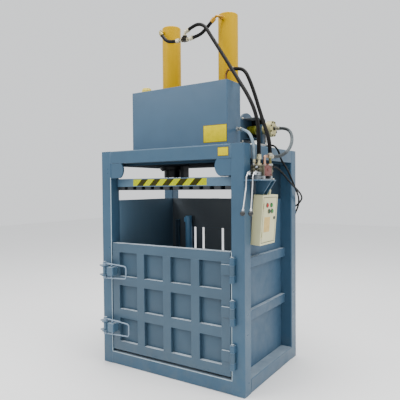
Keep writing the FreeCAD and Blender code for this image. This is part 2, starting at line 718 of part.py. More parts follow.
def latch(name):
    """Swinging latch: hub and block between the lugs, and a wire bail with its eyes outside them."""
    z = LATCH_HEIGHTS[name]
    half = LUG_SPACING / 2 - HUB_CLEAR
    block_rear = DOOR_FRONT - KEEPER_THICK - KEEPER_PAD_THICK - BLOCK_SEAT
    hub = rod(HUB_RADIUS, latch_point(z - half), latch_point(z + half))
    neck = box(PIVOT_X, PIVOT_X + BLOCK_NEAR, PIVOT_Y, PIVOT_Y + HUB_RADIUS, z - half, z + half)
    block = box(PIVOT_X + BLOCK_NEAR, PIVOT_X + BLOCK_FAR, PIVOT_Y - BLOCK_FRONT, block_rear,
                z - half, z + half)
    far = X_AXIS * BAIL_REACH[name]
    corners = [latch_point(z + BAIL_HALF), latch_point(z + BAIL_END_HALF) + far,
               latch_point(z - BAIL_END_HALF) + far, latch_point(z - BAIL_HALF)]
    pieces = [hub, neck, block, swept_wire(corners, [BAIL_BEND, BAIL_BEND], BAIL_WIRE)]
    tab_length, tab_width = BAIL_TAB
    tab_x = PIVOT_X + (BLOCK_NEAR + BLOCK_FAR - tab_length) / 2
    eye_near = LUG_SPACING / 2 + LUG_THICK + HUB_CLEAR
    for side in (-1, 1):
        eye_ends = (z + side * eye_near, z + side * (BAIL_HALF + BAIL_WIRE))
        pieces.append(rod(BAIL_EYE, latch_point(min(eye_ends)), latch_point(max(eye_ends))))
        tab_ends = (z + side * half, z + side * (BAIL_HALF + BAIL_END_HALF) / 2)
        pieces.append(box(tab_x, tab_x + tab_length, PIVOT_Y - tab_width / 2, PIVOT_Y + tab_width / 2,
                          min(tab_ends), max(tab_ends)))
    reach = BAIL_HALF + BAIL_WIRE
    return fuse(pieces).cut(rod(LATCH_PIN + RUNNING_FIT, latch_point(z - reach), latch_point(z + reach)))


def door_keepers():
    """Plates on the door, each with the pad that a latch block closes over."""
    keepers = []
    for z in LATCH_HEIGHTS.values():
        face = DOOR_FRONT - KEEPER_THICK
        plate = box(PIVOT_X + KEEPER_REACH[0], PIVOT_X + KEEPER_REACH[1], face, DOOR_FRONT,
                    z - KEEPER_HEIGHT / 2, z + KEEPER_HEIGHT / 2)
        pad = box(PIVOT_X + KEEPER_PAD[0], PIVOT_X + KEEPER_PAD[1], face - KEEPER_PAD_THICK, face,
                  z - KEEPER_PAD_HEIGHT / 2, z + KEEPER_PAD_HEIGHT / 2)
        keepers.append(fuse([plate, pad]))
    return keepers


def rounded_path(points, radii):
    """Straight runs joined by tangent arcs; one radius for each inner point."""
    edges = []
    start = points[0]
    for index in range(1, len(points) - 1):
        here = points[index]
        back = (points[index - 1] - here).normalize()
        ahead = (points[index + 1] - here).normalize()
        half_turn = (math.pi - back.getAngle(ahead)) / 2
        setback = radii[index - 1] * math.tan(half_turn)
        entry = here + back * setback
        leave = here + ahead * setback
        inward = (back + ahead).normalize()
        middle = here + inward * (radii[index - 1] / math.cos(half_turn) - radii[index - 1])
        edges.append(Part.makeLine(start, entry))
        edges.append(Part.Arc(entry, middle, leave).toShape())
        start = leave
    edges.append(Part.makeLine(start, points[-1]))
    return Part.Wire(edges)


def swept_wire(points, radii, radius):
    path = rounded_path(points, radii)
    section = Part.Wire(Part.makeCircle(radius, points[0], points[1] - points[0]))
    return path.makePipeShell([section], True, False)


# ================================================================ cylinders, deck and platen
def cylinder_point(side, z):
    return Vec(side * CYLINDER_X, 0.0, z)


def cylinder_deck():
    deck = box(-INNER_X - DECK_LAP, INNER_X + DECK_LAP, INNER_FRONT, INNER_REAR,
               DECK_UNDERSIDE, BEAM_UNDERSIDE)
    for side in (-1, 1):
        deck = deck.cut(rod(BARREL_RADIUS + BORE_GAP, cylinder_point(side, DECK_UNDERSIDE),
                            cylinder_point(side, BEAM_UNDERSIDE)))
    beams = []
    for side in (-1, 1):
        near = side * CROSSHEAD_NEAR
        far = side * (CROSSHEAD_NEAR + CROSSHEAD_WIDTH)
        beams.append(closed_tube(-INNER_X, INNER_X, min(near, far), max(near, far),
                                 BEAM_UNDERSIDE, FRAME_HEIGHT - COVER_THICK))
    return [deck] + beams


def top_cover():
    z0 = FRAME_HEIGHT - COVER_THICK
    cover = box(-INNER_X, INNER_X, INNER_FRONT, INNER_REAR, z0, FRAME_HEIGHT)
    for side in (-1, 1):
        cover = cover.cut(rod(BARREL_RADIUS + BORE_GAP, cylinder_point(side, z0),
                              cylinder_point(side, FRAME_HEIGHT)))
    return cover


def port_direction(side):
    angle = PORT_ANGLES[side]
    return Vec(-math.sin(angle), -math.cos(angle), 0.0)


def barrel(side):
    bottom = DECK_UNDERSIDE
    outer = rod(BARREL_RADIUS, cylinder_point(side, bottom), cylinder_point(side, BARREL_TOP))
    outer = outer.makeChamfer(BARREL_EDGE, end_rim(outer, cylinder_point(side, BARREL_TOP)))
    bore = rod(BARREL_BORE, cylinder_point(side, bottom), cylinder_point(side, BARREL_TOP - BARREL_CAP))
    centre = cylinder_point(side, PORT_HEIGHT)
    port = rod(PORT_RADIUS, centre + port_direction(side) * BARREL_BORE,
               centre + port_direction(side) * (BARREL_RADIUS + PORT_REACH))
    return fuse([outer, port]).cut(bore)


def cylinder_head(side):
    """Bolted flange and gland under the deck, bored for the rod."""
    z_flange = DECK_UNDERSIDE - FLANGE_THICK
    z_low = DECK_UNDERSIDE - FLANGE_THICK - HEAD_DROP
    flange = rod(FLANGE_RADIUS, cylinder_point(side, z_flange), cylinder_point(side, DECK_UNDERSIDE))
    gland = rod(HEAD_RADIUS, cylinder_point(side, z_low), cylinder_point(side, z_flange))
    bolts = []
    for index in range(FLANGE_BOLTS):
        angle = 2 * math.pi * (index + 0.5) / FLANGE_BOLTS
        reach = (FLANGE_RADIUS + HEAD_RADIUS) / 2
        place = Vec(side * CYLINDER_X + reach * math.cos(angle), reach * math.sin(angle), z_flange)
        bolts.append(rod(FLANGE_BOLT, place - Z_AXIS * FLANGE_BOLT, place))
    whole = fuse([flange, gland] + bolts)
    return whole.cut(rod(ROD_RADIUS + RUNNING_FIT, cylinder_point(side, z_low),
                         cylinder_point(side, DECK_UNDERSIDE)))


def piston_rod(side):
    base = cylinder_point(side, PLATEN_TOP)
    foot = rod(ROD_FOOT_RADIUS, base, base + Z_AXIS * ROD_FOOT)
    shaft = rod(ROD_RADIUS, base, cylinder_point(side, PISTON_TOP))
    piston = rod(BARREL_BORE - RUNNING_FIT, cylinder_point(side, PISTON_TOP - PISTON_LENGTH),
                 cylinder_point(side, PISTON_TOP))
    return fuse([foot, shaft, piston])


def platen_plate():
    """Welded box plate, notched at the rear for the two uprights."""
    wall = PLATEN_WALL
    outer = box(-PLATEN_HALF, PLATEN_HALF, PLATEN_FRONT, PLATEN_REAR, PLATEN_BOTTOM, PLATEN_TOP)
    outer = outer.cut(upright_notch(PLATEN_BOTTOM, PLATEN_TOP, UPRIGHT_GAP))
    inner = box(-PLATEN_HALF + wall, PLATEN_HALF - wall, PLATEN_FRONT + wall, PLATEN_REAR - wall,
                PLATEN_BOTTOM + wall, PLATEN_TOP - wall)
    inner = inner.cut(upright_notch(PLATEN_BOTTOM, PLATEN_TOP, UPRIGHT_GAP + wall))
    return outer.cut(inner)


def platen_bars():
    return strap_bars(PLATEN_HALF, PLATEN_FRONT, PLATEN_REAR,
                      PLATEN_BOTTOM - BAR_HEIGHT, PLATEN_BOTTOM, True)


def platen_stop():
    return box(STOP_X[0], STOP_X[1], -STOP_HALF, STOP_HALF, PLATEN_TOP + STOP_GAP, DECK_UNDERSIDE)


# ================================================================ tank, motor and pump
def oil_tank():
    outer = box(-TANK_HALF, TANK_HALF, TANK_FRONT, TANK_BACK, FRAME_HEIGHT, TANK_TOP)
    outer = outer.makeFillet(TANK_WALL, edges_along(outer, Z_AXIS))
    wall = TANK_WALL
    inner = box(-TANK_HALF + wall, TANK_HALF - wall, TANK_FRONT + wall, TANK_BACK - wall,
                FRAME_HEIGHT + wall, TANK_TOP - wall)
    neck = rod(NECK_RADIUS, Vec(CAP_X, CAP_Y, TANK_TOP), Vec(CAP_X, CAP_Y, TANK_TOP + NECK_HEIGHT))
    return fuse([outer.cut(inner), neck])


def filler_cap():
    z0 = TANK_TOP + NECK_HEIGHT
    cap = rod(CAP_RADIUS, Vec(CAP_X, CAP_Y, z0), Vec(CAP_X, CAP_Y, z0 + CAP_HEIGHT))
    return cap.makeFillet(CAP_HEIGHT / 5, end_rim(cap, Vec(CAP_X, CAP_Y, z0 + CAP_HEIGHT)))


def drive_point(x):
    return Vec(x, DRIVE_Y, DRIVE_Z)


def motor():
    start = MOTOR_END - MOTOR_LENGTH
    body = rod(MOTOR_RADIUS - FIN_DEPTH, drive_point(start), drive_point(MOTOR_END))
    cowl = rod(MOTOR_RADIUS, drive_point(start), drive_point(start + MOTOR_LENGTH / 4))
    flange = rod(MOTOR_FLANGE, drive_point(MOTOR_END), drive_point(MOTOR_END + MOTOR_FLANGE_THICK))
    fins = []
    for index in range(FIN_COUNT):
        fin = box(start + MOTOR_LENGTH / 4, MOTOR_END, DRIVE_Y - FIN_THICK / 2, DRIVE_Y + FIN_THICK / 2,
                  DRIVE_Z + MOTOR_RADIUS - 2 * FIN_DEPTH, DRIVE_Z + MOTOR_RADIUS)
        fins.append(fin.rotate(drive_point(0), X_AXIS, 360.0 * (index + 0.5) / FIN_COUNT))
    foot_top = DRIVE_Z - MOTOR_RADIUS / 2
    feet = box(start + MOTOR_LENGTH / 4, MOTOR_END, DRIVE_Y - BASE_HALF, DRIVE_Y + BASE_HALF,
               BASE_TOP, BASE_TOP + 2 * FIN_DEPTH)
    web = box(start + MOTOR_LENGTH / 4, MOTOR_END, DRIVE_Y - BASE_HALF / 2, DRIVE_Y + BASE_HALF / 2,
              BASE_TOP, foot_top)
    terminal = box(TERMINAL_X[0], TERMINAL_X[1], DRIVE_Y - MOTOR_RADIUS - TERMINAL_DEPTH / 2, DRIVE_Y,
                   DRIVE_Z - TERMINAL_HEIGHT / 2, DRIVE_Z + TERMINAL_HEIGHT / 2)
    gland_end = Vec(TERMINAL_X[1] + GLAND_PROUD, terminal.BoundBox.YMin + TERMINAL_GLAND[0],
                    DRIVE_Z - TERMINAL_GLAND[1])
    gland = rod(GLAND_RADIUS, gland_end - X_AXIS * GLAND_LENGTH, gland_end)
    whole = fuse([body, cowl, flange, feet, web, terminal, gland] + fins)
    return whole.cut(rod(SHAFT_RADIUS + RUNNING_FIT, drive_point(MOTOR_END - MOTOR_LENGTH / 4),
                         drive_point(MOTOR_END + MOTOR_FLANGE_THICK)))


def drive_coupling():
    """Motor shaft, the two jaw halves with their spider, and the pump shaft."""
    middle = (COUPLING_START + COUPLING_END) / 2
    gap = (COUPLING_END - COUPLING_START) / 10
    shaft = rod(SHAFT_RADIUS, drive_point(MOTOR_END - MOTOR_LENGTH / 4 + gap), drive_point(COUPLING_END))
    tail = rod(SHAFT_RADIUS / 2, drive_point(COUPLING_END), drive_point(PUMP_FACE))
    motor_half = rod(COUPLING_RADIUS, drive_point(COUPLING_START), drive_point(middle - gap))
    spider = rod(COUPLING_RADIUS - gap / 2, drive_point(middle - gap), drive_point(middle + gap))
    pump_half = rod(COUPLING_RADIUS, drive_point(middle + gap), drive_point(COUPLING_END))
    return fuse([shaft, tail, motor_half, spider, pump_half])


def gear_pump():
    """Neck on the bracket, body, and an end cover held by a ring of bolts."""
    end = PUMP_END
    neck = rod(PUMP_NECK_RADIUS, drive_point(PUMP_FACE), drive_point(PUMP_BODY))
    body = rod(PUMP_RADIUS, drive_point(PUMP_BODY), drive_point(end - PUMP_COVER))
    cover = rod(PUMP_RADIUS - PUMP_BOLT / 4, drive_point(end - PUMP_COVER), drive_point(end))
    bolts = []
    for index in range(PUMP_BOLTS):
        angle = 2 * math.pi * (index + 0.5) / PUMP_BOLTS
        reach = PUMP_RADIUS - 1.5 * PUMP_BOLT
        place = Vec(end, DRIVE_Y + reach * math.cos(angle), DRIVE_Z + reach * math.sin(angle))
        bolts.append(rod(PUMP_BOLT, place, place + X_AXIS * PUMP_BOLT))
    return fuse([neck, body, cover] + bolts)


def drive_base():
    """Folded base rail, the bracket that carries the pump, and the guard open to the front."""
    rail = box(BASE_LENGTH[0], BASE_LENGTH[1], DRIVE_Y - BASE_HALF, DRIVE_Y + BASE_HALF,
               FRAME_HEIGHT, BASE_TOP)
    inside = box(BASE_LENGTH[0], BASE_LENGTH[1], DRIVE_Y - BASE_HALF + GUARD_SHEET,
                 DRIVE_Y + BASE_HALF - GUARD_SHEET, FRAME_HEIGHT, BASE_TOP - GUARD_SHEET)
    flange_room = rod(MOTOR_FLANGE + BORE_GAP, drive_point(MOTOR_END - BORE_GAP),
                      drive_point(MOTOR_END + MOTOR_FLANGE_THICK + BORE_GAP))
    shoulder = DRIVE_Z - PUMP_PLATE_SHOULDER
    crown = DRIVE_Z + PUMP_PLATE_HALF
    outline = [(-PUMP_PLATE_FOOT, BASE_TOP), (PUMP_PLATE_FOOT, BASE_TOP), (PUMP_PLATE_HALF, shoulder),
               (PUMP_PLATE_HALF, crown), (-PUMP_PLATE_HALF, crown), (-PUMP_PLATE_HALF, shoulder),
               (-PUMP_PLATE_FOOT, BASE_TOP)]
    corners = [Vec(PUMP_PLATE, DRIVE_Y + across, z) for across, z in outline]
    bracket = Part.Face(Part.makePolygon(corners)).extrude(X_AXIS * PUMP_PLATE_THICK)
    bracket = bracket.cut(rod(SHAFT_RADIUS / 2 + BORE_GAP, drive_point(PUMP_PLATE), drive_point(PUMP_FACE)))
    x0 = MOTOR_END + MOTOR_FLANGE_THICK
    front = DRIVE_Y - BASE_HALF
    rear = DRIVE_Y + BASE_HALF
    floor = DRIVE_Z - GUARD_DROP
    roof = DRIVE_Z + GUARD_RISE
    trough = box(x0, GUARD_END, front, rear, floor - GUARD_SHEET, roof + GUARD_SHEET)
    trough = trough.cut(box(x0, GUARD_END, front, rear - GUARD_SHEET, floor, roof))
    return [rail.cut(inside).cut(flange_room), bracket, trough]


# ================================================================ valve bank
def valve_shelf():
    """Shelf on the front post, with the two plates below it that carry the control box."""
    z0 = SHELF_TOP - SHELF_THICK
    plate = box(HALF_W, HALF_W + SHELF_REACH, FRONT, FRONT + SHELF_LENGTH, z0, SHELF_TOP)
    box_space = leaned(box(BOX_BACK, BOX_FACE, BOX_Y[0], BOX_Y[1], BOX_TOP - BOX_HEIGHT, BOX_TOP))
    hangers = []
    for setback in HANGER_SETBACKS:
        y = FRONT + setback
        low = BOX_TOP - SHELF_THICK
        outline = Part.makePolygon([
            Vec(HALF_W + VALVE_GAP, y, z0), Vec(HALF_W + SHELF_REACH, y, z0),
            Vec(BOX_BACK + HANGER_FOOT, y, low), Vec(HALF_W + VALVE_GAP, y, low),
            Vec(HALF_W + VALVE_GAP, y, z0)])
        hangers.append(Part.Face(outline).extrude(Vec(0, HANGER_THICK, 0)).cut(box_space))
    return [plate] + hangers


def valve_body():
    z0 = VALVE_BASE
    block = box(VALVE_X[0], VALVE_X[1], VALVE_Y[0], VALVE_Y[1], z0, VALVE_TOP)
    seam = (VALVE_X[0] + VALVE_X[1]) / 2
    groove = box(seam - EAR_THICK / 2, seam + EAR_THICK / 2, VALVE_Y[0], VALVE_Y[1],
                 VALVE_TOP - EAR_THICK, VALVE_TOP)
    pieces = [block.cut(groove)]
    for y in (VALVE_Y[0], VALVE_Y[1] - VALVE_FOOT):
        pieces.append(box(VALVE_X[0], VALVE_X[1], y, y + VALVE_FOOT, SHELF_TOP, z0))
    for x in SPOOL_X:
        pieces.append(rod(SPOOL_RADIUS, Vec(x, VALVE_Y[0] - SPOOL_CAP, SPOOL_Z),
                          Vec(x, VALVE_Y[1] + SPOOL_CAP, SPOOL_Z)))
        reach = LEVER_GAP / 2 + EAR_THICK
        for x0 in (x - reach, x + LEVER_GAP / 2):
            pieces.append(box(x0, x0 + EAR_THICK, VALVE_Y[0] - EAR_REACH, VALVE_Y[0],
                              LEVER_Z - EAR_HEIGHT / 2, LEVER_Z + EAR_HEIGHT / 2))
        pieces.append(rod(LEVER_PIN, Vec(x - reach, LEVER_Y, LEVER_Z), Vec(x + reach, LEVER_Y, LEVER_Z)))
    return fuse(pieces)


def lever(x, forward):
    """Hub on the pivot pin, and a stem bent forward and down to its knob."""
    half = LEVER_GAP / 2 - LEVER_CLEAR
    pivot = Vec(x, LEVER_Y, LEVER_Z)
    knob_centre = Vec(x, LEVER_Y - forward, LEVER_Z - LEVER_DROP)
    bends = [Vec(x, LEVER_Y - ahead, LEVER_Z - down) for ahead, down in (LEVER_ELBOW, LEVER_KINK)]
    hub = rod(LEVER_HUB, pivot - X_AXIS * half, pivot + X_AXIS * half)
    stem = swept_wire([pivot] + bends + [knob_centre], LEVER_BENDS, LEVER_ROD)
    knob = Part.makeSphere(KNOB_RADIUS, knob_centre)
    bore = rod(LEVER_PIN + RUNNING_FIT, pivot - X_AXIS * half, pivot + X_AXIS * half)
    return fuse([hub, stem, knob]).cut(bore)


# ================================================================ control box
def leaned(shape):
    """Lean a piece outwards about the top back edge of the box."""
    return shape.rotate(Vec(BOX_BACK, 0, BOX_TOP), Y_AXIS, BOX_LEAN)


def door_edges():
    gap = BOX_RIM + BOX_DOOR_GAP
    return BOX_Y[0] + gap, BOX_Y[1] - gap, BOX_TOP - BOX_HEIGHT + gap, BOX_TOP - gap


def box_hinges():
    """Axis point and height span of each door knuckle."""
    y0, _, z0, z1 = door_edges()
    x = BOX_FACE + BOX_HINGE + LEVER_CLEAR
    lows = (z0 + BOX_HINGE_INSET, z1 - BOX_HINGE_INSET - BOX_HINGE_LENGTH)
    return [(x, y0, low, low + BOX_HINGE_LENGTH) for low in lows]


def control_box():
    z0 = BOX_TOP - BOX_HEIGHT
    shell = box(BOX_BACK, BOX_FACE, BOX_Y[0], BOX_Y[1], z0, BOX_TOP)
    shell = shell.makeFillet(BOX_CORNER, edges_along(shell, X_AXIS))
    hollow = box(BOX_BACK + BOX_SHEET, BOX_FACE - BOX_FLANGE, BOX_Y[0] + BOX_SHEET, BOX_Y[1] - BOX_SHEET,
                 z0 + BOX_SHEET, BOX_TOP - BOX_SHEET)
    mouth = box(BOX_FACE - BOX_FLANGE, BOX_FACE, BOX_Y[0] + BOX_RIM, BOX_Y[1] - BOX_RIM,
                z0 + BOX_RIM, BOX_TOP - BOX_RIM)
    pieces = [shell.cut(hollow).cut(mouth)]
    for x, y, low, high in box_hinges():
        below = (low - 2 * BOX_HINGE, low - LEVER_CLEAR)
        above = (high + LEVER_CLEAR, high + 2 * BOX_HINGE)
        for start, end in (below, above):
            pieces.append(rod(BOX_HINGE, Vec(x, y, start), Vec(x, y, end)))
            pieces.append(box(BOX_FACE, x, y - BOX_HINGE, y - BOX_DOOR_GAP, start, end))
        pieces.append(rod(BOX_HINGE_PIN, Vec(x, y, low - BOX_HINGE), Vec(x, y, high + BOX_HINGE)))
    gland_end = Vec(BOX_BACK + BOX_GLAND[0], BOX_Y[0] + BOX_GLAND[1], BOX_TOP + BOX_GLAND_RISE)
    pieces.append(rod(GLAND_RADIUS, gland_end - Z_AXIS * GLAND_LENGTH, gland_end))
    return leaned(fuse(pieces))


def button_places():
    return [(BOX_Y[0] + column, BOX_TOP - row) for row, columns in BUTTON_ROWS for column in columns]


def lock_centre():
    return Vec(BOX_FACE, BOX_Y[0] + LOCK_COLUMN, BOX_TOP - LOCK_ROW)


def control_door():
    y0, y1, z0, z1 = door_edges()
    skin = BOX_FACE - BOX_DOOR_THICK
    pieces = [box(skin, BOX_FACE, y0, y1, z0, z1)]
    holes = [rod(LOCK_RADIUS + RUNNING_FIT, lock_centre() - X_AXIS * BOX_DOOR_THICK, lock_centre())]
    for y, z in button_places():
        pieces.append(rod(BUTTON_BEZEL, Vec(BOX_FACE, y, z), Vec(BOX_FACE + BEZEL_PROUD, y, z)))
        holes.append(rod(BUTTON_RADIUS + RUNNING_FIT, Vec(skin, y, z), Vec(BOX_FACE + BEZEL_PROUD, y, z)))
    for x, y, low, high in box_hinges():
        pieces.append(rod(BOX_HINGE, Vec(x, y, low), Vec(x, y, high)))
        pieces.append(box(BOX_FACE, x, y, y + BOX_HINGE, low, high))
        holes.append(rod(BOX_HINGE_PIN + RUNNING_FIT, Vec(x, y, low), Vec(x, y, high)))
    return leaned(fuse(pieces).cut(holes))


def push_button(place):
    y, z = place
    back = Vec(BOX_FACE - BOX_DOOR_THICK - BUTTON_TRAVEL, y, z)
    face = Vec(BOX_FACE + BUTTON_PROUD, y, z)
    cap = rod(BUTTON_RADIUS, back, face)
    return leaned(cap.makeFillet(BUTTON_EDGE, end_rim(cap, face)))


def key_lock():
    lock = lock_centre()
    body = rod(LOCK_RADIUS, lock - X_AXIS * (BOX_DOOR_THICK + LOCK_TAIL), lock + X_AXIS * LOCK_PROUD)
    slot = box(lock.x + LOCK_PROUD / 2, lock.x + LOCK_PROUD, lock.y - KEY_SLOT, lock.y + KEY_SLOT,
               lock.z - LOCK_RADIUS / 2, lock.z + LOCK_RADIUS / 2)
    return leaned(body.cut(slot))


# ================================================================ hose routes and fittings
def vectors(points):
    """Places of route points, whose heights are above the top of the frame."""
    return [Vec(x, y, FRAME_HEIGHT + rise) for x, y, rise in points]


def cord(name, diameter, points):
    """Tube along a chosen route, with each bend as large as its two runs allow."""
    points = vectors(points)
    radii = []
    for index in range(1, len(points) - 1):
        before = points[index] - points[index - 1]
        after = points[index + 1] - points[index]
        turn = before.getAngle(after)
        radii.append(0.45 * min(before.Length, after.Length) / math.tan(turn / 2))
    path = rounded_path(points, radii)
    section = Part.Wire(Part.makeCircle(diameter / 2, points[0], points[1] - points[0]))
    solid = path.makePipeShell([section], True, False)
    expected = math.pi * diameter ** 2 / 4 * path.Length
    print("  ", name, "radii", [round(radius) for radius in radii],
          "length", round(path.Length), "volume ratio", round(solid.Volume / expected, 4))
    return solid


def hex_nut(radius, start, end):
    corners = []
    axis = (end - start).normalize()
    side = axis.cross(Z_AXIS if abs(axis.z) < 0.9 else X_AXIS).normalize()
    other = axis.cross(side)
    for index in range(7):
        angle = math.pi * index / 3
        corners.append(start + side * (radius * math.cos(angle)) + other * (radius * math.sin(angle)))
    return Part.Face(Part.makePolygon(corners)).extrude(end - start)


def hose_exit(name, at_end, reach):
    """End of a route, and the point that its last run reaches when carried on."""
    points = vectors(ROUTES[name][1])
    tip, inner = (points[-1], points[-2]) if at_end else (points[0], points[1])
    return tip, tip + (tip - inner).normalize() * reach


def ferrule_radius(name):
    return ROUTES[name][0] / 2 + FERRULE_WALL


def port_nut(port, outward, name):
    return hex_nut(ferrule_radius(name) + NUT_OVERSIZE, port, port + outward * NUT_LENGTH)


def fitting(port, outward, name, at_end, reach, sleeve):
    """Adapter: a nut square on its port, an elbow, and a sleeve in line with the hose."""
    tip, corner = hose_exit(name, at_end, reach)
    back = (corner - tip).normalize()
    start = port + outward * (NUT_LENGTH / 2)
    end = tip + back * (sleeve / 2)
    turn = math.degrees((corner - start).getAngle(end - corner))
    if turn > STRAIGHT_BELOW:
        pipe = swept_wire([start, corner, end], [ELBOW_BEND], PIPE)
    else:
        pipe = rod(PIPE, start, end)
    return fuse([port_nut(port, outward, name), pipe, rod(ferrule_radius(name), tip + back * sleeve, tip)])


def swan_neck(port, outward, name, at_end, reach, sleeve):
    """Adapter with two bends, for a port that faces away from the hose."""
    tip, crest = hose_exit(name, at_end, reach)
    back = (crest - tip).normalize()
    pipe = swept_wire([port + outward * (NUT_LENGTH / 2), port + outward * RIGHT_NECK_OUT, crest,
                       tip + back * (sleeve / 2)], [ELBOW_BEND, ELBOW_BEND], PIPE)
    return fuse([port_nut(port, outward, name), pipe, rod(ferrule_radius(name), tip + back * sleeve, tip)])


def cylinder_port(side):
    return cylinder_point(side, PORT_HEIGHT) + port_direction(side) * (BARREL_RADIUS + PORT_REACH)


def valve_fitting(name, elbow):
    _, corner = hose_exit(name, True, elbow[0])
    return fitting(Vec(corner.x, corner.y, VALVE_TOP), Z_AXIS, name, True, *elbow)


def hose_fittings():
    _, tank_corner = hose_exit("hose_tank", False, TANK_ELBOW[0])
    tank_port = Vec(TANK_HALF, tank_corner.y, tank_corner.z)
    _, pump_corner = hose_exit("hose_pressure", False, PUMP_STUB[0])
    pump_port = Vec(PUMP_END, pump_corner.y, pump_corner.z)
    return [
        fitting(cylinder_port(-1), port_direction(-1), "hose_left_cylinder", False, *LEFT_CYLINDER_ELBOW),
        swan_neck(cylinder_port(1), port_direction(1), "hose_right_cylinder", True, *RIGHT_CYLINDER_NECK),
        valve_fitting("hose_supply", SUPPLY_ELBOW),
        valve_fitting("hose_lower_port", LOWER_PORT_ELBOW),
        valve_fitting("hose_pressure", PRESSURE_ELBOW),
        valve_fitting("hose_tank", RETURN_ELBOW),
        fitting(tank_port, X_AXIS, "hose_tank", False, *TANK_ELBOW),
        fitting(pump_port, X_AXIS, "hose_pressure", False, *PUMP_STUB),
    ]


def hose_tee():
    """Loose tee with its three hose sleeves."""
    centre = vectors([TEE_CENTRE])[0]
    x, y, z = centre.x, centre.y, centre.z
    half = TEE_HALF
    _, left = hose_exit("hose_left_cylinder", True, TEE_SIDE_ELBOW[0])
    _, right = hose_exit("hose_right_cylinder", False, TEE_SIDE_ELBOW[0])
    _, top = hose_exit("hose_supply", False, TEE_TOP_ELBOW[0])
    return fuse([
        box(x - half, x + half, y - half, y + half, z - half, z + half),
        fitting(Vec(x - half, left.y, left.z), X_AXIS * -1, "hose_left_cylinder", True, *TEE_SIDE_ELBOW),
        fitting(Vec(x + half, right.y, right.z), X_AXIS, "hose_right_cylinder", False, *TEE_SIDE_ELBOW),
        fitting(Vec(top.x, top.y, z + half), Z_AXIS, "hose_supply", False, *TEE_TOP_ELBOW)])


def lower_port_pipe():
    """Steel pipe that joins the two lower ports behind the tank and rises to the hose."""
    z_port = FRAME_HEIGHT + LOWER_PORT_RISE
    y = -BARREL_RADIUS - PORT_REACH
    reach, sleeve = RISER_ELBOW
    tip, top = hose_exit("hose_lower_port", False, reach)
    back = (top - tip).normalize()
    cross = swept_wire([Vec(-CYLINDER_X, y, z_port), Vec(RISER_X, y, z_port),
                        Vec(RISER_X, y, top.z - RISER_BEND), top, tip + back * (sleeve / 2)],
                       [RISER_BEND * 0.7] * 3, PIPE)
    pieces = [cross, rod(ferrule_radius("hose_lower_port"), tip + back * sleeve, tip)]
    for side in (-1, 1):
        axis_point = cylinder_point(side, z_port)
        boss = rod(PORT_RADIUS, axis_point, axis_point + Y_AXIS * (y - PORT_RADIUS))
        barrel_space = rod(BARREL_RADIUS, cylinder_point(side, z_port - 2 * PORT_RADIUS),
                           cylinder_point(side, z_port + 2 * PORT_RADIUS))
        pieces.append(boss.cut(barrel_space))
    return fuse(pieces)


def suction_pipe():
    """Pipe from the low back of the tank, round the end of the rail and up into the pump's neck."""
    z0 = FRAME_HEIGHT + SUCTION_RISE
    pump_x = PUMP_FACE + SUCTION_INSET
    points = [
        Vec(SUCTION_X, TANK_BACK, z0), Vec(SUCTION_X, SUCTION_Y, z0), Vec(pump_x, SUCTION_Y, z0),
        Vec(pump_x, DRIVE_Y, z0), drive_point(pump_x)]
    pipe = swept_wire(points, [SUCTION_BEND] * 3, SUCTION_PIPE)
    return pipe.cut(rod(PUMP_NECK_RADIUS, drive_point(PUMP_FACE), drive_point(PUMP_BODY)))


# ================================================================ write every piece
def build():
    os.makedirs("parts", exist_ok=True)
    save("post_front_left", [post(-1, FRONT)])
    save("post_front_right", [post(1, FRONT)])
    save("post_rear_left", [post(-1, INNER_REAR)])
    save("post_rear_right", [post(1, INNER_REAR)])
    save("top_beams", beam_ring(BEAM_UNDERSIDE))
    save("base_beams", beam_ring(0.0) + floor_cross_beams())
    save("corner_gussets", [gusset(), mirrored(gusset())])
    save("chamber_floor", chamber_floor())
    save("wall_right", side_wall())
    save("wall_left", [mirrored(piece) for piece in side_wall()])
    save("wall_rear", rear_wall())
    save("rear_slot_bars", rear_bars())
    save("rear_uprights", rear_uprights())

    save("cylinder_deck", cylinder_deck())
    save("top_cover", [top_cover()])
    save("cylinder_left", [barrel(-1)])
    save("cylinder_right", [barrel(1)])
    save("cylinder_heads", [cylinder_head(-1), cylinder_head(1)])
    save("platen_stop", [platen_stop()])
    save("piston_rod_left", [piston_rod(-1)])
    save("piston_rod_right", [piston_rod(1)])
    save("platen_plate", [platen_plate()])
    save("platen_bars", platen_bars())

    save("door_panel", door_panel())
    save("door_hinge_leaves", [hinge_leaf(top) for top in HINGE_TOPS])
    save("door_keepers", door_keepers())
    save("hinge_knuckles", hinge_knuckles())
    save("pivot_pins", pivot_pins())
    save("latch_lugs", latch_lugs())
    save("latch_upper", [latch("upper")])
    save("latch_lower", [latch("lower")])

    save("oil_tank", [oil_tank()])
    save("filler_cap", [filler_cap()])
    save("motor", [motor()])
    save("drive_coupling", [drive_coupling()])
    save("gear_pump", [gear_pump()])
    save("drive_base", drive_base())
    save("suction_pipe", [suction_pipe()])
    save("lower_port_pipe", [lower_port_pipe()])

    save("valve_shelf", valve_shelf())
    save("valve_body", [valve_body()])
    save("valve_lever_inner", [lever(SPOOL_X[0], LEVER_FORWARDS[0])])
    save("valve_lever_outer", [lever(SPOOL_X[1], LEVER_FORWARDS[1])])

    save("control_box", [control_box()])
    save("control_door", [control_door()])
    for name, place in zip(("button_stop", "button_start", "button_down", "button_up"), button_places()):
        save(name, [push_button(place)])
    save("key_lock", [key_lock()])

    save("hose_fittings", hose_fittings())
    save("hose_tee", [hose_tee()])
    for name, (diameter, points) in ROUTES.items():
        save(name, [cord(name, diameter, points)])


build()
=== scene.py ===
import math

import bmesh
import bpy
from bpy.props import FloatProperty, FloatVectorProperty, IntProperty, PointerProperty
from mathutils import Matrix, Vector


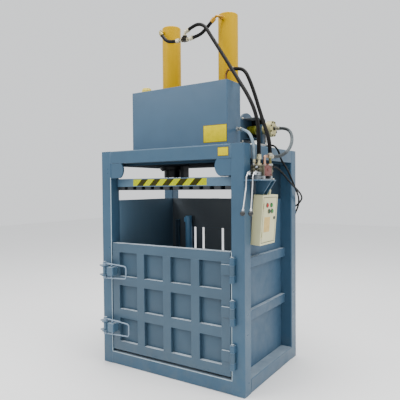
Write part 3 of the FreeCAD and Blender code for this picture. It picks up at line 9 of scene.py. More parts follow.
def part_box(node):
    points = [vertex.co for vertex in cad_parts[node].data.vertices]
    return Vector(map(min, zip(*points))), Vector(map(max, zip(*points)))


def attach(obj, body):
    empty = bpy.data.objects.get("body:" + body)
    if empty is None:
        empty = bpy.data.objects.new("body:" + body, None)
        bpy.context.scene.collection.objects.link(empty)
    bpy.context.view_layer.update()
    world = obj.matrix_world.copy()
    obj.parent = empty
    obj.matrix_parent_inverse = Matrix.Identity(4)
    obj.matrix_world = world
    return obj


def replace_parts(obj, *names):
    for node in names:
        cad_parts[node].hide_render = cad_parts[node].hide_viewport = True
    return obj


bl_info = {
    "name": "Vertical baler dressing",
    "version": (1, 0, 0),
    "blender": (4, 5, 0),
    "location": "View3D > Sidebar > Baler",
    "description": "Paint, hoses, tape, bolts and weld beads for a vertical waste baler",
    "category": "Object",
}

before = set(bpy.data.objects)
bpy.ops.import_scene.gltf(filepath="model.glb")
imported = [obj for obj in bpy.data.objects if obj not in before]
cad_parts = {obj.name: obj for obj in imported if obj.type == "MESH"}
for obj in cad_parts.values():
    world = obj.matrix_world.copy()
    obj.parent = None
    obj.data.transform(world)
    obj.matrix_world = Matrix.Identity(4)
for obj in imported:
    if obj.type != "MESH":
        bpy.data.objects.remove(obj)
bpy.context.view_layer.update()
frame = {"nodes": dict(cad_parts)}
POST_LOW, POST_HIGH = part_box("post_front_left")
FRAME_FRONT, FRAME_TOP = POST_LOW.y, POST_HIGH.z
FRAME_REAR = -FRAME_FRONT
OPENING_HALF = 0.550        # half the width between the front posts

# Routes of the hoses and the cable: X, Y and height above the top of the frame, in millimetres.
HOSE_ROUTES = {
    "hose_left_cylinder": [
        (-278, -126, 965), (-240, -138, 918), (-180, -147, 888), (-116, -150, 885)],
    "hose_right_cylinder": [
        (46, -150, 885), (98, -149, 891), (144, -145, 916), (203, -134, 976.5)],
    "hose_supply": [
        (7, -152, 954), (56, -154, 974), (116, -162, 973), (172, -173, 940), (221, -184, 866),
        (304, -200, 748), (399, -222, 614), (507, -262, 466), (589, -290, 354), (653, -318, 248),
        (692, -340, 143), (703, -350, 35), (703, -350, -74)],
    "hose_lower_port": [
        (395, -121, 594), (452, -132, 589), (501, -142, 555), (545, -155, 472), (586, -169, 377),
        (632, -189, 257), (684, -216, 135), (738, -249, 27), (741, -252, -63)],
    "hose_pressure": [
        (603, 250, 172), (652, 246, 169), (700, 230, 137), (728, 195, 80), (744, 130, 20),
        (748, 50, -30), (738, -35, -65), (721, -100, -78), (716, -160, -79)],
    "hose_tank": [
        (498, -200, 125), (548, -232, 109), (600, -283, 80), (640, -333, 47), (668, -362, 3),
        (673, -364, -53), (668, -352, -103)],
    "control_cable": [
        (176, 112, 153), (214, 112, 153), (252, 110, 133), (282, 108, 93), (312, 106, 51),
        (362, 102, 23), (430, 90, 12), (500, 70, 10), (560, 50, 11), (625, 25, 23), (668, 10, 7),
        (690, 20, -33), (694, 50, -87), (698, 104, -125), (698, 165, -159), (694, 232, -207),
        (690, 308, -265), (684, 392, -325), (673, 480, -385), (655, 520, -451), (625, 524, -515),
        (600, 522, -580), (572, 520, -635), (530, 518, -665), (484, 518, -653), (462, 520, -610),
        (472, 526, -560), (510, 534, -515), (565, 542, -483), (622, 552, -457), (662, 542, -421),
        (694, 500, -389), (708, 425, -353), (716, 340, -323), (718, 250, -291), (718, 160, -255),
        (714, 85, -216), (708, 24, -182), (703, -34, -159), (699, -84, -146), (697, -124, -155),
        (697, -146, -191), (696.5, -150, -233), (694.5, -150, -273), (691.3, -150, -313)],
}
# Length of the crimped sleeve at the start and at the end of each hose.
SLEEVES = {
    "hose_left_cylinder": (0.030, 0.034), "hose_right_cylinder": (0.034, 0.038),
    "hose_supply": (0.034, 0.034), "hose_lower_port": (0.034, 0.034),
    "hose_pressure": (0.030, 0.040), "hose_tank": (0.024, 0.024),
}

DOOR_SKIN = -0.418          # face of the door's skin behind the rails
POCKET_FACE = -0.437        # face of the pressed panels in the pockets
DOOR_RAIL = 0.071           # width of the rails between the pockets
DOOR_COLUMNS, DOOR_ROWS = 4, 3
VALVE_ENDS = (-0.375, -0.235)
LEVER_PIVOT = (-0.441, 1.509)           # Y and Z
LEVER_DROP = 0.260          # from the pivot down to the knob
# Each lever with its body and how far its knob stands in front of its pivot.
LEVERS = (("valve_lever_inner", "lever_inner", 0.1079), ("valve_lever_outer", "lever_outer", 0.082))
STEM_RADIUS = 0.0039
KNOB_RADIUS = 0.0168
# Bends of a lever, as (forward of, below) its pivot: a tail, the arch over the hub, then the stem.
LEVER_SHAPE = ((-0.026, 0.006), (-0.018, -0.011), (0.006, -0.016), (0.032, -0.004), (0.050, 0.020),
               (0.055, 0.088))
LEVER_BENDS = (0.008, 0.012, 0.016, 0.018, 0.060)
MOTOR_FACE = 0.315          # front face of the motor's flange
GUARD_END = 0.440           # right end of the coupling's guard
DRIVE_Y = 0.250             # axis of the motor and pump
DRIVE_Z = 1.887
LATCH_HEIGHTS = (0.762, 0.314)
# The control box leans about a pivot. Its door, buttons and sign have the Y and Z of an upright box.
BOX_PIVOT = Vector((0.654, 0.0, 1.370))
BOX_LEAN = (Matrix.Translation(BOX_PIVOT) @ Matrix.Rotation(math.radians(4.6), 4, "Y")
            @ Matrix.Translation(-BOX_PIVOT))
BOX_FACE = 0.725
CONTROL_DOOR = (-0.311, -0.099, 1.039, 1.351)
BUTTONS = ((-0.254, 1.298), (-0.186, 1.298), (-0.219, 1.255), (-0.169, 1.255))
SIGN = (-0.285, -0.190, 1.110, 1.215)
# Edges of the two labels in X and Z.
TANK_LABEL = (0.240, 0.439, 1.747, 1.874)
BEAM_LABEL = (0.450, 0.535, 1.634, 1.695)
PUMP_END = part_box("gear_pump")[1].x
CYLINDER_PORTS = ((-0.309, -0.091, FRAME_TOP + 1.008), (0.275, -0.097, FRAME_TOP + 1.008))


def route_points(name):
    """Places of a route's points, in metres."""
    return [Vector((x / 1000, y / 1000, FRAME_TOP + rise / 1000)) for x, y, rise in HOSE_ROUTES[name]]


def srgb(red, green, blue):
    """Screen colour, 0 to 255 a channel, as the linear colour that the shaders take."""
    channels = []
    for value in (red, green, blue):
        value /= 255.0
        channels.append(value / 12.92 if value <= 0.04045 else ((value + 0.055) / 1.055) ** 2.4)
    return tuple(channels)


# ---------------------------------------------------------------- settings in the sidebar
class BalerPaint(bpy.types.PropertyGroup):
    """Colours of the painted parts, how worn they are, and how strong the painted highlight on their edges
    is.
    """
    frame: FloatVectorProperty(
        name="Frame", description="Posts, beams and shelf", subtype="COLOR", size=3,
        min=0, max=1, default=srgb(50, 80, 103))
    panel: FloatVectorProperty(
        name="Panels", description="Chamber walls and floor", subtype="COLOR", size=3,
        min=0, max=1, default=srgb(54, 82, 105))
    door: FloatVectorProperty(
        name="Door", description="Feed door and its latches", subtype="COLOR", size=3,
        min=0, max=1, default=srgb(56, 80, 98))
    tank: FloatVectorProperty(
        name="Tank", description="Oil tank", subtype="COLOR", size=3,
        min=0, max=1, default=srgb(54, 84, 108))
    cylinder: FloatVectorProperty(
        name="Cylinders", description="Cylinder barrels", subtype="COLOR", size=3,
        min=0, max=1, default=srgb(180, 142, 0))
    box: FloatVectorProperty(
        name="Control box", description="Box and its door", subtype="COLOR", size=3,
        min=0, max=1, default=srgb(206, 204, 160))
    # The edge setting scales the chips rubbed to metal and also a painted highlight along every edge.
    wear_and_edge_highlight: FloatProperty(
        name="Edge wear", description="Share of the edges rubbed down to metal",
        subtype="FACTOR", min=0, max=1, default=0.35)


class BalerHoses(bpy.types.PropertyGroup):
    """Outside diameters of the hoses."""
    hose: FloatProperty(
        name="Hose", description="Outside diameter of the cylinder hoses", unit="LENGTH", default=0.027)
    return_hose: FloatProperty(
        name="Return hose", description="Outside diameter of the pale return hose", unit="LENGTH",
        default=0.021)
    pressure: FloatProperty(
        name="Pressure hose", description="Outside diameter of the braided hose", unit="LENGTH",
        default=0.025)
    cable: FloatProperty(
        name="Cable", description="Outside diameter of the control cable", unit="LENGTH", default=0.014)


class BalerTrim(bpy.types.PropertyGroup):
    """Tape, bolts and weld beads."""
    tape_left: FloatProperty(
        name="Tape left end", description="X of the left end of the tape", unit="LENGTH", default=-0.371)
    tape_right: FloatProperty(
        name="Tape right end", description="X of the right end of the tape", unit="LENGTH", default=0.317)
    tape_height: FloatProperty(
        name="Tape height", description="Width of the tape from edge to edge", unit="LENGTH", default=0.051)
    tape_thickness: FloatProperty(
        name="Tape thickness", description="How far the tape stands proud", unit="LENGTH", default=0.0006)
    stripes: IntProperty(
        name="Dark stripes", description="Number of dark stripes on the tape", min=1, max=20, default=5)
    bolt: FloatProperty(
        name="Bolt head", description="Width across the flats of a bolt head", unit="LENGTH", default=0.016)
    bead: FloatProperty(
        name="Weld bead", description="Radius of a weld bead", unit="LENGTH", default=0.0032)


class BalerStage(bpy.types.PropertyGroup):
    """Camera, floor and lights."""
    camera_place: FloatVectorProperty(
        name="Camera", description="Where the camera stands", subtype="TRANSLATION", size=3,
        default=(2.0455, -3.1678, 1.4186))
    yaw: FloatProperty(
        name="Yaw", description="Turn of the view from +Y towards -X", subtype="ANGLE",
        default=math.radians(32.853))
    pitch: FloatProperty(
        name="Pitch", description="Tilt of the view above the horizon", subtype="ANGLE",
        default=math.radians(-1.541))
    roll: FloatProperty(
        name="Roll", description="Lean of the camera", subtype="ANGLE", default=math.radians(-0.458))
    lens: FloatProperty(
        name="Lens", description="Focal length on a 36 mm sensor", default=41.07)
    floor: FloatVectorProperty(
        name="Floor", description="Colour of the studio floor", subtype="COLOR", size=3,
        min=0, max=1, default=(0.90, 0.90, 0.90))


SETTINGS = {"baler_paint": BalerPaint, "baler_hoses": BalerHoses,
            "baler_trim": BalerTrim, "baler_stage": BalerStage}


# ---------------------------------------------------------------- node materials
class Finish:
    """One material, with short calls to add its nodes and link them."""

    def __init__(self, name):
        self.material = bpy.data.materials.new(name)
        self.material.use_nodes = True
        self.tree = self.material.node_tree
        self.place = self.add("ShaderNodeTexCoord").outputs["Object"]

    def feed(self, socket, value):
        """Sets a socket to a number, a vector or a colour, or links another node's output to it."""
        if isinstance(value, bpy.types.NodeSocket):
            self.tree.links.new(value, socket)
        elif socket.type == "RGBA":
            socket.default_value = (*value, 1.0)
        else:
            socket.default_value = value

    def add(self, kind, inputs=None, **settings):
        """New node with its settings, and with what feeds its inputs, by name or number."""
        node = self.tree.nodes.new(kind)
        for key, value in settings.items():
            setattr(node, key, value)
        for socket, value in (inputs or {}).items():
            self.feed(node.inputs[socket], value)
        return node

    def noise(self, scale, detail, stretch=(1, 1, 1)):
        mapping = self.add("ShaderNodeMapping", {"Vector": self.place, "Scale": stretch})
        texture = self.add("ShaderNodeTexNoise", {
            "Vector": mapping.outputs["Vector"], "Scale": scale, "Detail": detail, "Roughness": 0.55})
        return texture.outputs["Fac"]

    def ramp(self, source, low, high, start=0.0, end=1.0):
        """Maps source from low..high to start..end, clamped."""
        node = self.add("ShaderNodeMapRange", {
            "Value": source, "From Min": low, "From Max": high, "To Min": start, "To Max": end})
        return node.outputs["Result"]

    def patches(self, scale, detail, low, high, start=0.0, end=1.0):
        """Noise, mapped from low..high to start..end."""
        return self.ramp(self.noise(scale, detail), low, high, start, end)

    def math(self, operation, *values):
        return self.add("ShaderNodeMath", dict(enumerate(values)), operation=operation).outputs["Value"]

    def times(self, whole, *factors):
        """Product of outputs and numbers."""
        for factor in factors:
            whole = self.math("MULTIPLY", whole, factor)
        return whole

    def mix(self, factor, first, second):
        return self.add("ShaderNodeMix", {0: factor, 6: first, 7: second}, data_type="RGBA").outputs[2]

    def axes(self, vector):
        """Outputs X, Y and Z of a vector."""
        return self.add("ShaderNodeSeparateXYZ", {0: vector}).outputs

    def edges(self, radius):
        """1 on sharp edges and 0 on flats, and the normal rounded off over the edges."""
        rounded = self.add("ShaderNodeBevel", {"Radius": radius}, samples=6).outputs["Normal"]
        flat = self.add("ShaderNodeNewGeometry").outputs["Normal"]
        dot = self.add("ShaderNodeVectorMath", {0: rounded, 1: flat}, operation="DOT_PRODUCT")
        return self.ramp(dot.outputs["Value"], 1.0, 0.86), rounded

    def facing_up(self):
        """Z of the surface's own normal: 1 on top faces, -1 on undersides."""
        return self.axes(self.add("ShaderNodeNewGeometry").outputs["True Normal"])["Z"]

    def near(self, centre, reach):
        """1 round a place on the machine, falling to 0 at the given reach."""
        away = self.add("ShaderNodeVectorMath", {0: self.place, 1: centre}, operation="DISTANCE")
        return self.ramp(away.outputs["Value"], reach * 0.85, reach, 1.0, 0.0)

    def inside(self, low, high):
        """1 inside a box between two corners of the machine, 0 outside."""
        place = self.axes(self.place)
        tests = [self.math(operation, place[axis], corner[number])
                 for operation, corner in (("GREATER_THAN", low), ("LESS_THAN", high))
                 for number, axis in enumerate("XYZ")]
        return self.times(*tests)

    def bump(self, height, strength, distance, **more):
        inputs = {"Height": height, "Strength": strength, "Distance": distance, **more}
        self.set(Normal=self.add("ShaderNodeBump", inputs).outputs["Normal"])

    def set(self, **values):
        """Feeds the shader's own sockets, and gives the material."""
        for key, value in values.items():
            self.feed(self.tree.nodes["Principled BSDF"].inputs[key.replace("_", " ")], value)
        return self.material


# Pale colour of dust on upward faces, which also stands in for the highlight that light from above puts on
# them.
DUST_AND_HIGHLIGHT = srgb(206, 219, 230)
GRIME = (0.13, 0.135, 0.13)
OIL_STAIN = (0.055, 0.045, 0.03)


def tinted(colour, factor):
    return tuple(min(1.0, channel * factor) for channel in colour)


def painted_steel(name, colour, roughness, wear_and_edge_highlight, dust=0.5, shade=1.0, gloss=0.5, regions=(), ledges=0.0,
                  dark_under=0.8, cloudy=1.0, gloss_tint=(1.0, 1.0, 1.0)):
    """Sprayed paint: cloudy tone, orange peel, chipped edges with a painted highlight, grime near the floor
    and painted shade on the undersides.

    Each of regions is (lowest corner, highest corner, colour) of a part given another colour, which the
    callers use for painted shade and painted light, and ledges is how much pale dust with a painted
    highlight covers the upward faces.
    """
    finish = Finish(name)
    colour = tinted(colour, shade)
    toned = finish.mix(finish.patches(2.2, 5.0, 0.35, 0.68), tinted(colour, 1.0 - 0.10 * cloudy),
                       tinted(colour, 1.0 + 0.07 * cloudy))
    for low, high, other in regions:
        toned = finish.mix(finish.inside(low, high), toned, other)
    runs = finish.ramp(finish.noise(7.0, 2.5, (1, 1, 0.12)), 0.56, 0.74, 0.0, 0.28 * dust)
    toned = finish.mix(runs, toned, tinted(colour, 0.72))
    near_floor = finish.ramp(finish.axes(finish.place)["Z"], 0.30, 0.0)
    grime = finish.times(near_floor, finish.patches(16.0, 6.0, 0.42, 0.62, 0.0, 0.40 * dust))
    toned = finish.mix(grime, toned, GRIME)
    facing = finish.facing_up()
    # Dust and painted highlight: upward faces turn pale in patches.
    if ledges:
        dust_and_highlight = finish.times(finish.ramp(facing, 0.80, 0.97, 0.0, ledges),
                               finish.patches(9.0, 5.0, 0.30, 0.60, 0.65, 1.0))
        toned = finish.mix(dust_and_highlight, toned, DUST_AND_HIGHLIGHT)
    # Painted shade: faces that look down are darkened towards a quarter of the colour, as far as dark_under
    # allows, and made rougher.
    under = finish.ramp(facing, -0.80, -0.97)
    toned = finish.mix(finish.times(under, dark_under), toned, tinted(colour, 0.25))
    rim, rounded = finish.edges(0.004)
    # Painted highlight: every sharp edge is lightened by a share set by the edge setting; the chips below
    # are paint rubbed to metal.
    toned = finish.mix(finish.times(rim, wear_and_edge_highlight), toned, tinted(colour, 1.9))
    chips = finish.times(rim, finish.patches(46.0, 7.0, 0.50, 0.60), wear_and_edge_highlight)
    sheen = finish.patches(11.0, 5.0, 0.3, 0.7, roughness - 0.07, roughness + 0.10)
    finish.bump(finish.noise(230.0, 2.0), 0.10, 0.0006, Normal=rounded)
    return finish.set(Base_Color=finish.mix(chips, toned, tinted(colour, 2.4)),
                      Roughness=finish.math("ADD", sheen, finish.times(under, 0.5)),
                      Specular_IOR_Level=gloss, Specular_Tint=gloss_tint)


def bare_steel(name, colour, roughness):
    """Zinc or turned steel with a fine grain."""
    finish = Finish(name)
    grain = finish.noise(90.0, 4.0, (1, 1, 18))
    stain = finish.patches(14.0, 5.0, 0.45, 0.75, 0.0, 0.45)
    brushed = finish.mix(grain, tinted(colour, 0.86), tinted(colour, 1.10))
    finish.bump(grain, 0.12, 0.0004, Normal=finish.edges(0.0012)[1])
    return finish.set(Base_Color=finish.mix(stain, brushed, tinted(colour, 0.62)), Metallic=0.92,
                      Roughness=finish.patches(40.0, 5.0, 0.3, 0.7, roughness - 0.08, roughness + 0.14))


def plated_fittings(name, colour, tones, gloss=0.5):
    """Zinc plating, with fittings of other plating round the places in tones."""
    finish = Finish(name)
    base = finish.mix(finish.noise(70.0, 4.0, (1, 1, 6)), tinted(colour, 0.88), tinted(colour, 1.08))
    for centre, reach, tone in tones:
        base = finish.mix(finish.near(centre, reach), base, tone)
    stain = finish.patches(38.0, 6.0, 0.48, 0.66, 0.0, 0.7)
    finish.bump(finish.noise(260.0, 4.0), 0.18, 0.0004, Normal=finish.edges(0.0010)[1])
    return finish.set(Base_Color=finish.mix(stain, base, OIL_STAIN), Metallic=0.55,
                      Roughness=finish.patches(60.0, 5.0, 0.3, 0.7, 0.28, 0.5),
                      Specular_IOR_Level=gloss)


def polished_chrome(name):
    finish = Finish(name)
    wipe = finish.noise(30.0, 4.0, (1, 1, 0.05))
    return finish.set(Base_Color=finish.mix(wipe, (0.62, 0.63, 0.64), (0.80, 0.81, 0.82)), Metallic=1.0,
                      Roughness=finish.ramp(wipe, 0.3, 0.7, 0.08, 0.20))


def cast_metal(name, colour, roughness, metallic=0.0):
    """Sand-cast surface under primer, with oil darkening in patches."""
    finish = Finish(name)
    oil = finish.patches(20.0, 6.0, 0.48, 0.66, 0.0, 0.75)
    finish.bump(finish.noise(420.0, 5.0), 0.35, 0.0010, Normal=finish.edges(0.002)[1])
    return finish.set(Base_Color=finish.mix(oil, colour, tinted(colour, 0.55)), Metallic=metallic,
                      Roughness=finish.ramp(oil, 0.0, 0.75, roughness, roughness - 0.25))


def moulded(name, colour, roughness):
    """Moulded plastic with faint mottling."""
    finish = Finish(name)
    mottle = finish.noise(60.0, 4.0)
    finish.bump(finish.noise(700.0, 2.0), 0.12, 0.0003, Normal=finish.edges(0.0015)[1])
    return finish.set(Base_Color=finish.mix(mottle, tinted(colour, 0.90), tinted(colour, 1.08)),
                      Roughness=finish.ramp(mottle, 0.3, 0.7, roughness - 0.05, roughness + 0.10))


def hose_rubber(name, colour, wrap=0.0, soiled=()):
    """Hose cover: cloth-marked rubber, or a woven cover when wrap is set, oily round the soiled places."""
    finish = Finish(name)
    scuff = finish.patches(50.0, 5.0, 0.45, 0.75, 0.0, 0.5)
    if wrap:
        weave = finish.add("ShaderNodeTexVoronoi", {"Scale": wrap, "Vector": finish.place},
                           feature="DISTANCE_TO_EDGE")
        strand = finish.ramp(weave.outputs["Distance"], 0.0, 0.35)
        base = finish.mix(strand, tinted(colour, 0.40), tinted(colour, 1.30))
        base = finish.mix(finish.patches(30.0, 4.0, 0.42, 0.60, 0.0, 0.65), base, tinted(colour, 0.45))
        finish.bump(strand, 0.6, 0.0012)
    else:
        base = finish.mix(scuff, colour, tinted(colour, 1.9))
        finish.bump(finish.noise(900.0, 3.0), 0.25, 0.0004)
    for place, reach in soiled:
        base = finish.mix(finish.times(finish.near(place, reach), 0.9), base, tinted(colour, 0.22))
    return finish.set(Base_Color=base, Roughness=finish.ramp(scuff, 0.0, 0.5, 0.42, 0.62),
                      Specular_IOR_Level=0.12)


def striped_tape(name, left, right, low, high, stripes):
    """Slanted dark and yellow bands, starting and ending yellow."""
    finish = Finish(name)
    place = finish.axes(finish.place)
    band = (right - left) / (2 * stripes + 1)
    lean = finish.math("SUBTRACT", place["Z"], (low + high) / 2)
    along = finish.math("SUBTRACT", finish.math("SUBTRACT", place["X"], left), lean)
    phase = finish.math("FRACT", finish.math("DIVIDE", along, 2 * band))
    dark = finish.times(finish.math("GREATER_THAN", phase, 0.5),
                        finish.math("GREATER_THAN", along, band * 0.5),
                        finish.math("LESS_THAN", along, right - left - band * 0.5))
    scuff = finish.patches(55.0, 6.0, 0.55, 0.72, 0.0, 0.5)
    yellow = finish.mix(scuff, srgb(172, 178, 0), srgb(150, 146, 6))
    black = finish.mix(scuff, srgb(42, 40, 16), srgb(70, 66, 34))
    finish.bump(finish.noise(160.0, 3.0), 0.08, 0.0004)
    return finish.set(Base_Color=finish.mix(dark, yellow, black),
                      Roughness=finish.ramp(scuff, 0.0, 0.5, 0.34, 0.6),
                      Specular_IOR_Level=0.2, Specular_Tint=(1.0, 0.95, 0.25))


def plain_label(name, colour):
    """Printed film, slightly creased."""
    finish = Finish(name)
    crease = finish.noise(36.0, 4.0)
    finish.bump(crease, 0.06, 0.0006)
    return finish.set(Base_Color=finish.mix(finish.ramp(crease, 0.4, 0.7), colour, tinted(colour, 0.86)),
                      Roughness=finish.ramp(crease, 0.3, 0.7, 0.40, 0.56), Specular_IOR_Level=0.08)


# ---------------------------------------------------------------- mesh helpers
class Metalwork:
    """Gathers shapes into one mesh object."""

    def __init__(self, name, *materials):
        self.mesh = bmesh.new()
        self.name = name
        self.materials = materials

    def block(self, low, high, index, chamfer, turn=None):
        """Box between two corners, with its edges cut, then moved by turn."""
        low, high = Vector(low), Vector(high)
        made = bmesh.ops.create_cube(self.mesh, size=1.0)["verts"]
        bmesh.ops.scale(self.mesh, vec=high - low, verts=made)
        bmesh.ops.translate(self.mesh, vec=(low + high) / 2, verts=made)
        if chamfer:
            edges = list({edge for vert in made for edge in vert.link_edges})
            cut = bmesh.ops.bevel(self.mesh, geom=edges, offset=chamfer, segments=2, affect="EDGES",
                                  profile=0.6)
            kept = {vert for vert in made if vert.is_valid}
            made = list({vert for face in cut["faces"] for vert in face.verts} | kept)
        if turn is not None:
            bmesh.ops.transform(self.mesh, matrix=turn, verts=made)
        for face in {face for vert in made for face in vert.link_faces}:
            face.material_index = index

    def skin(self, rings, index=0, closed=False):
        """Faces from ring to ring, with a cap at both ends unless the last ring meets the first."""
        for near, far in zip(rings, rings[1:] + (rings[:1] if closed else [])):
            for step in range(len(near)):
                after = (step + 1) % len(near)
                self.mesh.faces.new((near[step], near[after], far[after], far[step])).material_index = index
        if not closed:
            for ring in (rings[0][::-1], rings[-1]):
                self.mesh.faces.new(ring).material_index = index

    def circle(self, centre, side, other, radius, sides):
        """Ring of vertices in the plane of two directions."""
        turns = [2 * math.pi * step / sides for step in range(sides)]
        return [self.mesh.verts.new(centre + (side * math.cos(turn) + other * math.sin(turn)) * radius)
                for turn in turns]

    def turned(self, profile, start, axis, sides=32, index=0, closed=False):
        """Turned piece: profile holds (distance along axis, radius), and a closed one is a collar."""
        axis = Vector(axis).normalized()
        side = axis.orthogonal().normalized()
        rings = [self.circle(Vector(start) + axis * along, side, axis.cross(side), radius, sides)
                 for along, radius in profile]
        self.skin(rings, index, closed)

    def bolt(self, centre, axis, across, index=0):
        """Hexagon head on a round washer."""
        radius = across / math.sqrt(3)
        washer, head = across * 0.10, across * 0.62
        self.turned([(0, across * 0.78), (washer, across * 0.78), (across * 0.12, across * 0.74)],
                    centre, axis, 20, index)
        self.turned([(0, radius), (head * 0.82, radius), (head, radius * 0.80)],
                    Vector(centre) + Vector(axis) * washer, axis, 6, index)

    def bead(self, start, end, radius):
        """Rippled weld bead, half sunk in the joint that it follows."""
        start, run = Vector(start), Vector(end) - Vector(start)
        steps = max(4, int(run.length / 0.005))
        profile = []
        for step in range(steps + 1):
            swell = 1.0 + 0.16 * math.sin(step * 2.4) + 0.07 * math.sin(step * 0.9)
            taper = 0.45 if step in (0, steps) else 1.0
            profile.append((run.length * step / steps, radius * swell * taper))
        self.turned(profile, start, run, 8)

    def swept(self, points, bends, radius):
        """Round bar through the points, with an arc of the given radius at each inner one."""
        path = [points[0]]
        for before, corner, after, bend in zip(points, points[1:], points[2:], bends):
            back, ahead = (before - corner).normalized(), (after - corner).normalized()
            half = back.angle(ahead) / 2
            longest = 0.48 * min((before - corner).length, (after - corner).length)
            cut = min(bend / math.tan(half), longest)
            bend = cut * math.tan(half)
            middle = corner + (back + ahead).normalized() * (bend / math.sin(half))
            first, last = corner + back * cut - middle, corner + ahead * cut - middle
            for step in range(9):
                path.append(middle + first.slerp(last, step / 8).normalized() * bend)
        path.append(points[-1])
        side = (path[1] - path[0]).orthogonal().normalized()
        rings = []
        for number, place in enumerate(path):
            along = (path[min(number + 1, len(path) - 1)] - path[max(number - 1, 0)]).normalized()
            side = (side - along * side.dot(along)).normalized()
            rings.append(self.circle(place, side, along.cross(side), radius, 16))
        self.skin(rings)

    def plate(self, outline, low, high, index):
        """Plate cut to an outline of (Y, Z) places, between two values of X."""
        self.skin([[self.mesh.verts.new((x, y, z)) for y, z in outline] for x in (low, high)], index)

    def finish(self, body, slot, smooth_angle=35.0):
        data = bpy.data.meshes.new(self.name)
        bmesh.ops.recalc_face_normals(self.mesh, faces=self.mesh.faces)
        self.mesh.to_mesh(data)
        self.mesh.free()
        for material in self.materials:
            data.materials.append(material)
        data.shade_smooth()
        data.set_sharp_from_angle(angle=math.radians(smooth_angle))
        piece = bpy.data.objects.new(self.name, data)
        bpy.context.scene.collection.objects.link(piece)
        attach(piece, body)
        return piece


def dress(material, *nodes):
    """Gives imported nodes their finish."""
    for name in nodes:
        piece = frame["nodes"][name]
        piece.data.materials.clear()
        piece.data.materials.append(material)


def middle(name):
    """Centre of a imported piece's box."""
    low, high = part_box(name)
    return (low + high) / 2


def round_drive(x, radius, turn):
    """Place on a circle round the axis of the motor and pump."""
    return Vector((x, DRIVE_Y + radius * math.cos(turn), DRIVE_Z + radius * math.sin(turn)))


